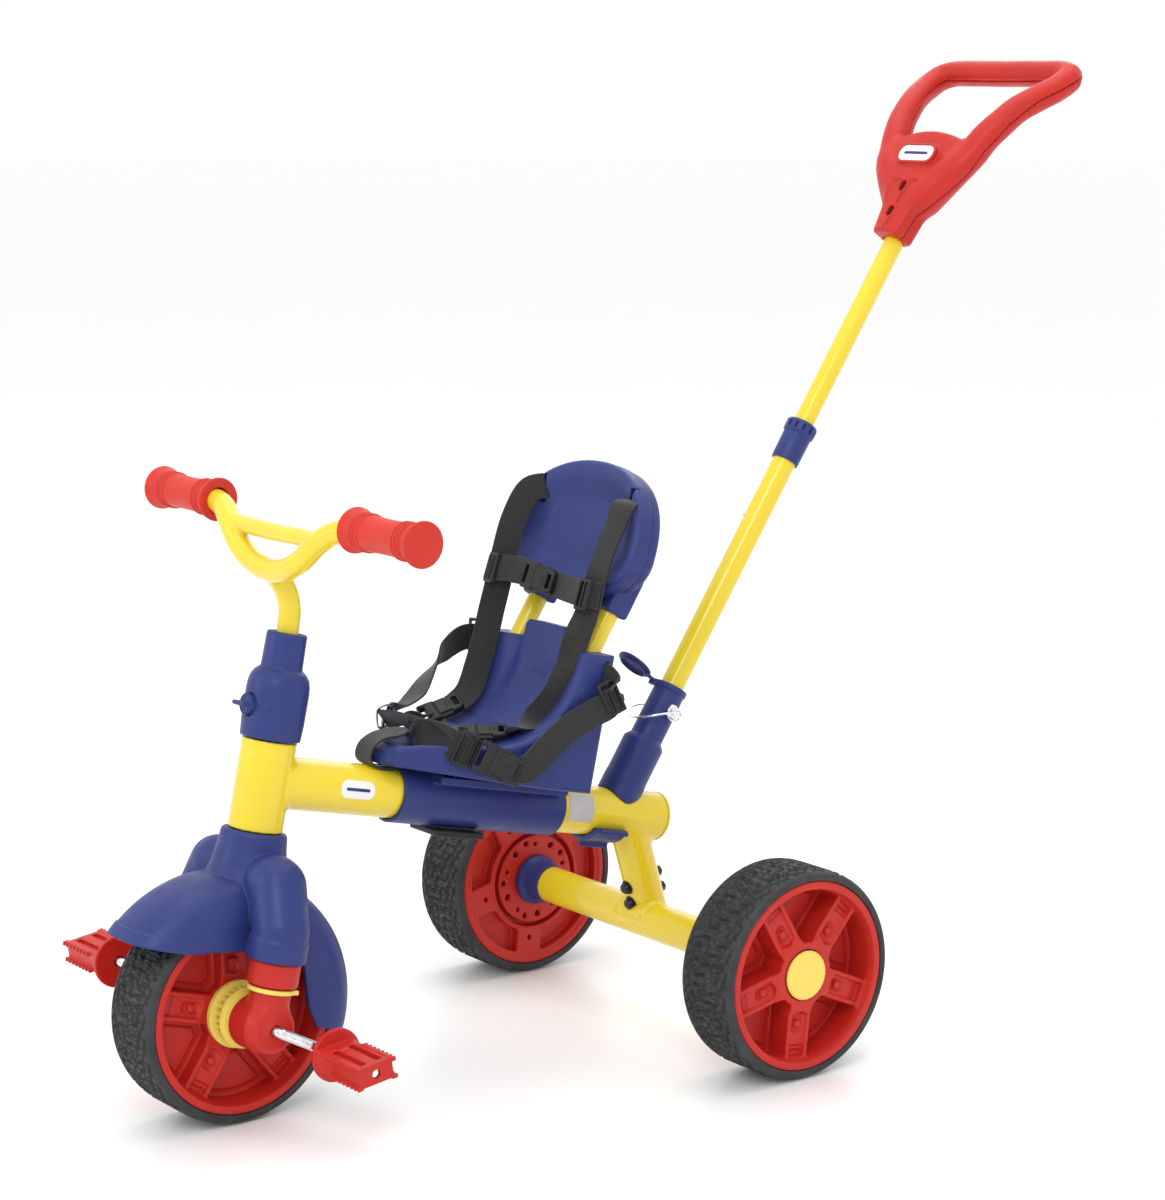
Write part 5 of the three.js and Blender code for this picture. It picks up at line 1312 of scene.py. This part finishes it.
def build_harness():
    to_camera_side = (0.6, 0.8, 0)
    strap("shoulder_webbing_left", [
        ((70, -154, 304), (1, 0.3, 0)), ((74, -167, 300), (1, 0.3, 0)), ((72, -173, 275), (1, 0.15, 0)),
        ((66, -176, 245), (1, 0.1, 0)), ((61, -176, 216), (1, 0.2, 0)), ((61, -179, 192), (0.9, 0.4, 0)),
        ((64, -188, 168), to_camera_side), ((66, -193, 144), (0.9, 0.4, 0)), ((62, -200, 113), to_camera_side),
        ((54, -209, 92), (0.7, 0.6, 0.2)), ((47, -221, 79), (0.8, 0.3, 0.4)), ((40, -233, 72), (0.8, -0.2, 0.4)),
    ], "shoulder_strap_left")
    strap("shoulder_webbing_right", [
        ((-66, -156, 304), to_camera_side), ((-73, -168, 298), to_camera_side), ((-74, -180, 270), to_camera_side),
        ((-70, -188, 231), to_camera_side), ((-68, -191, 201), to_camera_side), ((-68, -193, 176), to_camera_side),
        ((-65, -197, 147), to_camera_side), ((-61, -203, 122), to_camera_side), ((-55, -213, 97), (0.7, 0.6, -0.2)),
        ((-51, -228, 84), (0.8, 0.4, -0.3)),
    ], "shoulder_strap_right")
    strap("chest_webbing", [
        ((-82, -190, 219), (0, 0.1, 1)), ((-69, -197, 218), (0, 0.1, 1)), ((-45, -190, 220), (0, 0.1, 1)),
        ((-15, -184, 217), (0, 0, 1)), ((18, -181, 213), (0, 0, 1)), ((44, -181, 211), (0, 0, 1)),
        ((61, -183, 211), (0, 0, 1)), ((72, -176, 211), (0, 0, 1)),
    ], "chest_belt")
    strap("chest_loop_back", [
        ((-82, -187, 217), (0, 0.1, 1)), ((-66, -181, 218), (0, 0.1, 1)), ((-40, -185, 219), (0, 0, 1)),
    ])
    strap("lap_webbing_left", [
        ((82, -166, 139), (0, 0, 1)), ((91, -165, 138), (0, -0.1, 1)), ((99, -161, 127), (-0.2, -0.4, 0.75)),
        ((101, -166, 114), (-0.3, -0.5, 0.75)), ((100, -182, 104), (-0.35, -0.5, 0.75)),
        ((98, -204, 88), (-0.4, -0.6, 0.7)), ((97, -222, 70), (-0.3, -0.5, 0.8)), ((96, -235, 54), (-0.1, -0.2, 0.9)),
        ((94, -244, 45), (0, 0.1, 0.9)), ((88, -251, 44), (0, 0.3, 0.9)),
    ], "lap_strap_left")
    strap("lap_webbing_right", [
        ((-82, -166, 140), (0, 0, 1)), ((-93, -172, 145), (0, 0.1, 1)), ((-98, -196, 145), (0.1, 0.2, 1)),
        ((-99, -217, 128), (0.2, 0.1, 1)), ((-93, -237, 104), (0.6, 0.3, 0.7)), ((-81, -256, 84), (0.8, 0.5, 0.4)),
        ((-64, -285, 70), (0.6, 0.5, 0.5)), ((-50, -304, 67), (0.7, -0.4, 0.6)), ((-42, -312, 66), (0.6, -0.5, 0.6)),
    ], "lap_strap_right")
    strap("lap_webbing_right_return", [
        ((-46, -312, 62), (0.5, -0.5, 0.7)), ((-30, -309, 66), (0.5, -0.7, 0.5)), ((-8, -304, 67), (0.3, -0.9, 0.5)),
        ((14, -300, 66), (0.2, -0.9, 0.6)), ((36, -297, 62), (0.1, -0.4, 0.9)),
        ((56, -294, 55), (0, 0.2, 0.9)), ((67, -279, 51), (0, 0.3, 0.9)),
    ])
    strap("crotch_webbing", [
        ((0, -330, 23), (1, 0, 0)), ((0, -347, 23), (1, 0, 0)), ((0, -358, 29), (1, 0, 0)),
        ((0, -358, 40), (1, 0, 0)), ((1, -349, 50), (1, 0, 0)), ((5, -335, 56), (1, 0.2, 0)),
        ((15, -320, 60), (0.8, 0.7, 0.2)), ((29, -307, 60), (0.4, 0.8, 0.6)), ((43, -299, 57), (0.1, 0.5, 0.9)),
        ((56, -294, 53), (0, 0.3, 0.9)),
    ], "crotch_strap")
    strap("right_buckle_webbing", [
        ((18, -268, 62), (0.8, -0.5, 0.3)), ((30, -281, 61), (0.6, -0.5, 0.6)), ((46, -292, 59), (0.2, -0.2, 0.9)),
    ], width=20)
    strap("left_buckle_webbing", [
        ((-60, -252, 68), (0.8, -0.4, 0.2)), ((-52, -272, 64), (0.8, -0.5, 0.2)), ((-30, -292, 63), (0.6, -0.8, 0.2)),
        ((-8, -299, 63), (0.2, -0.9, 0.3)),
    ], width=20)
    release = side_release(50, 31, 9.5)
    size = (27, 18, 7)
    outward = (0.78, -0.6, 0.18)
    run = (0.5, 0.8, -0.28)
    fitting("main_buckle_shell", release, size, (79, -264, 46), run, outward, "main_buckle")
    fitting("main_buckle_slider", slider_shape(18, 33), (12, 19, 4), (60, -290, 54), run, outward)
    fitting("right_buckle_half", side_release(44, 24, 8), (24, 14, 6), (30, -250, 68), (0.5, 0.85, 0.2),
            (0.35, -0.35, 0.9))
    fitting("left_buckle", side_release(40, 26, 8.5), (22, 15, 7), (-54, -241, 77), (0.25, 0.75, 0.45),
            (0.4, -0.55, 0.75))
    fitting("chest_buckle", side_release(40, 28, 8.5), (22, 16, 7), (-8, -187, 216), (1, 0.12, -0.1), (0.1, -1, 0.1))
    fitting("chest_slider_left", slider_shape(17, 30), (11, 17, 4), (60, -186, 210), (1, -0.05, 0), (0.3, -1, 0.1))
    fitting("chest_slider_right", slider_shape(18, 30), (12, 17, 4), (-71, -199, 217), (1, -0.2, 0), (0.2, -1, 0.1))
    fitting("lap_slider_left", slider_shape(20, 33), (12, 19, 4), (101, -164, 121), (-0.1, -0.8, -0.5),
            (0.9, -0.3, 0.1))
    fitting("lap_slider_right", slider_shape(18, 33), (12, 19, 4), (-93, -186, 149), (-0.5, -0.8, -0.1),
            (0.6, -0.7, 0.2))
    loop = [(-16, -4, 0), (-13, -7, 0), (13, -7, 0), (16, -4, 0), (16, 4, 0), (13, 7, 0), (-13, 7, 0),
            (-16, 4, 0), (-16, -4, 0)]
    ring = rod(loop, 1.6, 1.0, 14)
    piece("crotch_ring", ring, BEAM @ facing((-46, -311, 65), (0.5, -0.5, 0.65), (0.6, 0.1, -0.5)), "seat", STEEL)


# ---- Blank stickers ----
def build_labels():
    blank = rounded_outline(18.5, 8.6, 7.5)
    here = BEAM @ shift(0, -374, 0)
    wrapped_label("beam_blank_label", blank, 24.0, here, "frame", WHITE, "frame_paint", middle=0.12)
    stripe = rounded_outline(13, 1.5, 1.3)
    wrapped_label("beam_label_stripe", stripe, 24.3, here, "frame", BLUE, "blue_plastic", middle=0.12)
    silver = rounded_outline(15, 14, 1.5)
    wrapped_label("beam_silver_label", silver, 24.0, BEAM @ shift(0, -112, 0), "frame", SILVER,
                  "frame_paint", middle=0.2)


def finish_hidden_nodes():
    """The pieces inside the frame keep their CAD shape and take a real material."""
    for node, material in (("steerer_tube", STEEL), ("headset_bush_lower", BLACK), ("headset_bush_upper", BLACK)):
        thing = frame["nodes"][node]
        if not thing.material_slots:
            thing.data.materials.append(material)
        for slot in thing.material_slots:
            slot.material = material


# ---- Camera, light and floor ----
def aim(thing, back):
    thing.rotation_mode = "QUATERNION"
    thing.rotation_quaternion = (-back).to_track_quat("-Z", "Y")


def build_camera():
    turn, rise, away = math.radians(52.73), math.radians(10.1), 2885
    back = Vector((math.sin(turn) * math.cos(rise), -math.cos(turn) * math.cos(rise), math.sin(rise)))
    target = REAR_AXLE + Vector((0, -75.5, 328.4))
    camera = bpy.data.objects.new("camera", bpy.data.cameras.new("camera"))
    bpy.context.scene.collection.objects.link(camera)
    camera.data.sensor_width = 36
    camera.data.lens = 90.1
    camera.data.clip_end = 30
    camera.location = (target + back * away) * MM
    aim(camera, back)
    bpy.context.scene.camera = camera


def area_light(name, at, target, size, watts):
    light = bpy.data.objects.new(name, bpy.data.lights.new(name, "AREA"))
    bpy.context.scene.collection.objects.link(light)
    light.data.shape = "RECTANGLE"
    light.data.size, light.data.size_y = size
    light.data.energy = watts
    light.location = at
    aim(light, (Vector(at) - Vector(target)).normalized())


def build_stage():
    floor = bpy.data.meshes.new("floor")
    reach = 40  # metres, so that no edge shows
    corners = [(x * reach, y * reach, 0) for x, y in ((-1, -1), (1, -1), (1, 1), (-1, 1))]
    floor.from_pydata(corners, [], [(0, 1, 2, 3)])
    ground = bpy.data.objects.new("floor", floor)
    bpy.context.scene.collection.objects.link(ground)
    g = Graph("pale floor", (0.965, 0.965, 0.97), 0.32)
    g.set("Roughness", g.ramp(g.noise(3), 0.3, 0.36))
    floor.materials.append(g.material)
    middle = (0, 0, 0.4)
    area_light("key", (2.2, -2.4, 3.0), middle, (1.6, 1.6), 36)
    area_light("overhead", (-0.3, 0.3, 3.6), middle, (3.0, 3.0), 40)
    area_light("left fill", (-1.2, -3.2, 1.6), middle, (1.2, 2.0), 16)
    area_light("rear rim", (-2.4, 2.6, 2.4), middle, (2.0, 2.0), 14)
    world = bpy.data.worlds.new("studio")
    world.use_nodes = True
    world.node_tree.nodes["Background"].inputs["Color"].default_value = (1, 1, 1, 1)
    world.node_tree.nodes["Background"].inputs["Strength"].default_value = 1.0
    bpy.context.scene.world = world
    bpy.context.scene.view_settings.view_transform = "Standard"


build_camera()
build_stage()
build_wheels()
build_frame()
build_fork()
build_drive()
build_pedals()
build_handlebar()
build_sleeve()
build_seat()
build_headrest()
build_socket()
build_tubes()
build_handle()
build_harness()
build_labels()
finish_hidden_nodes()
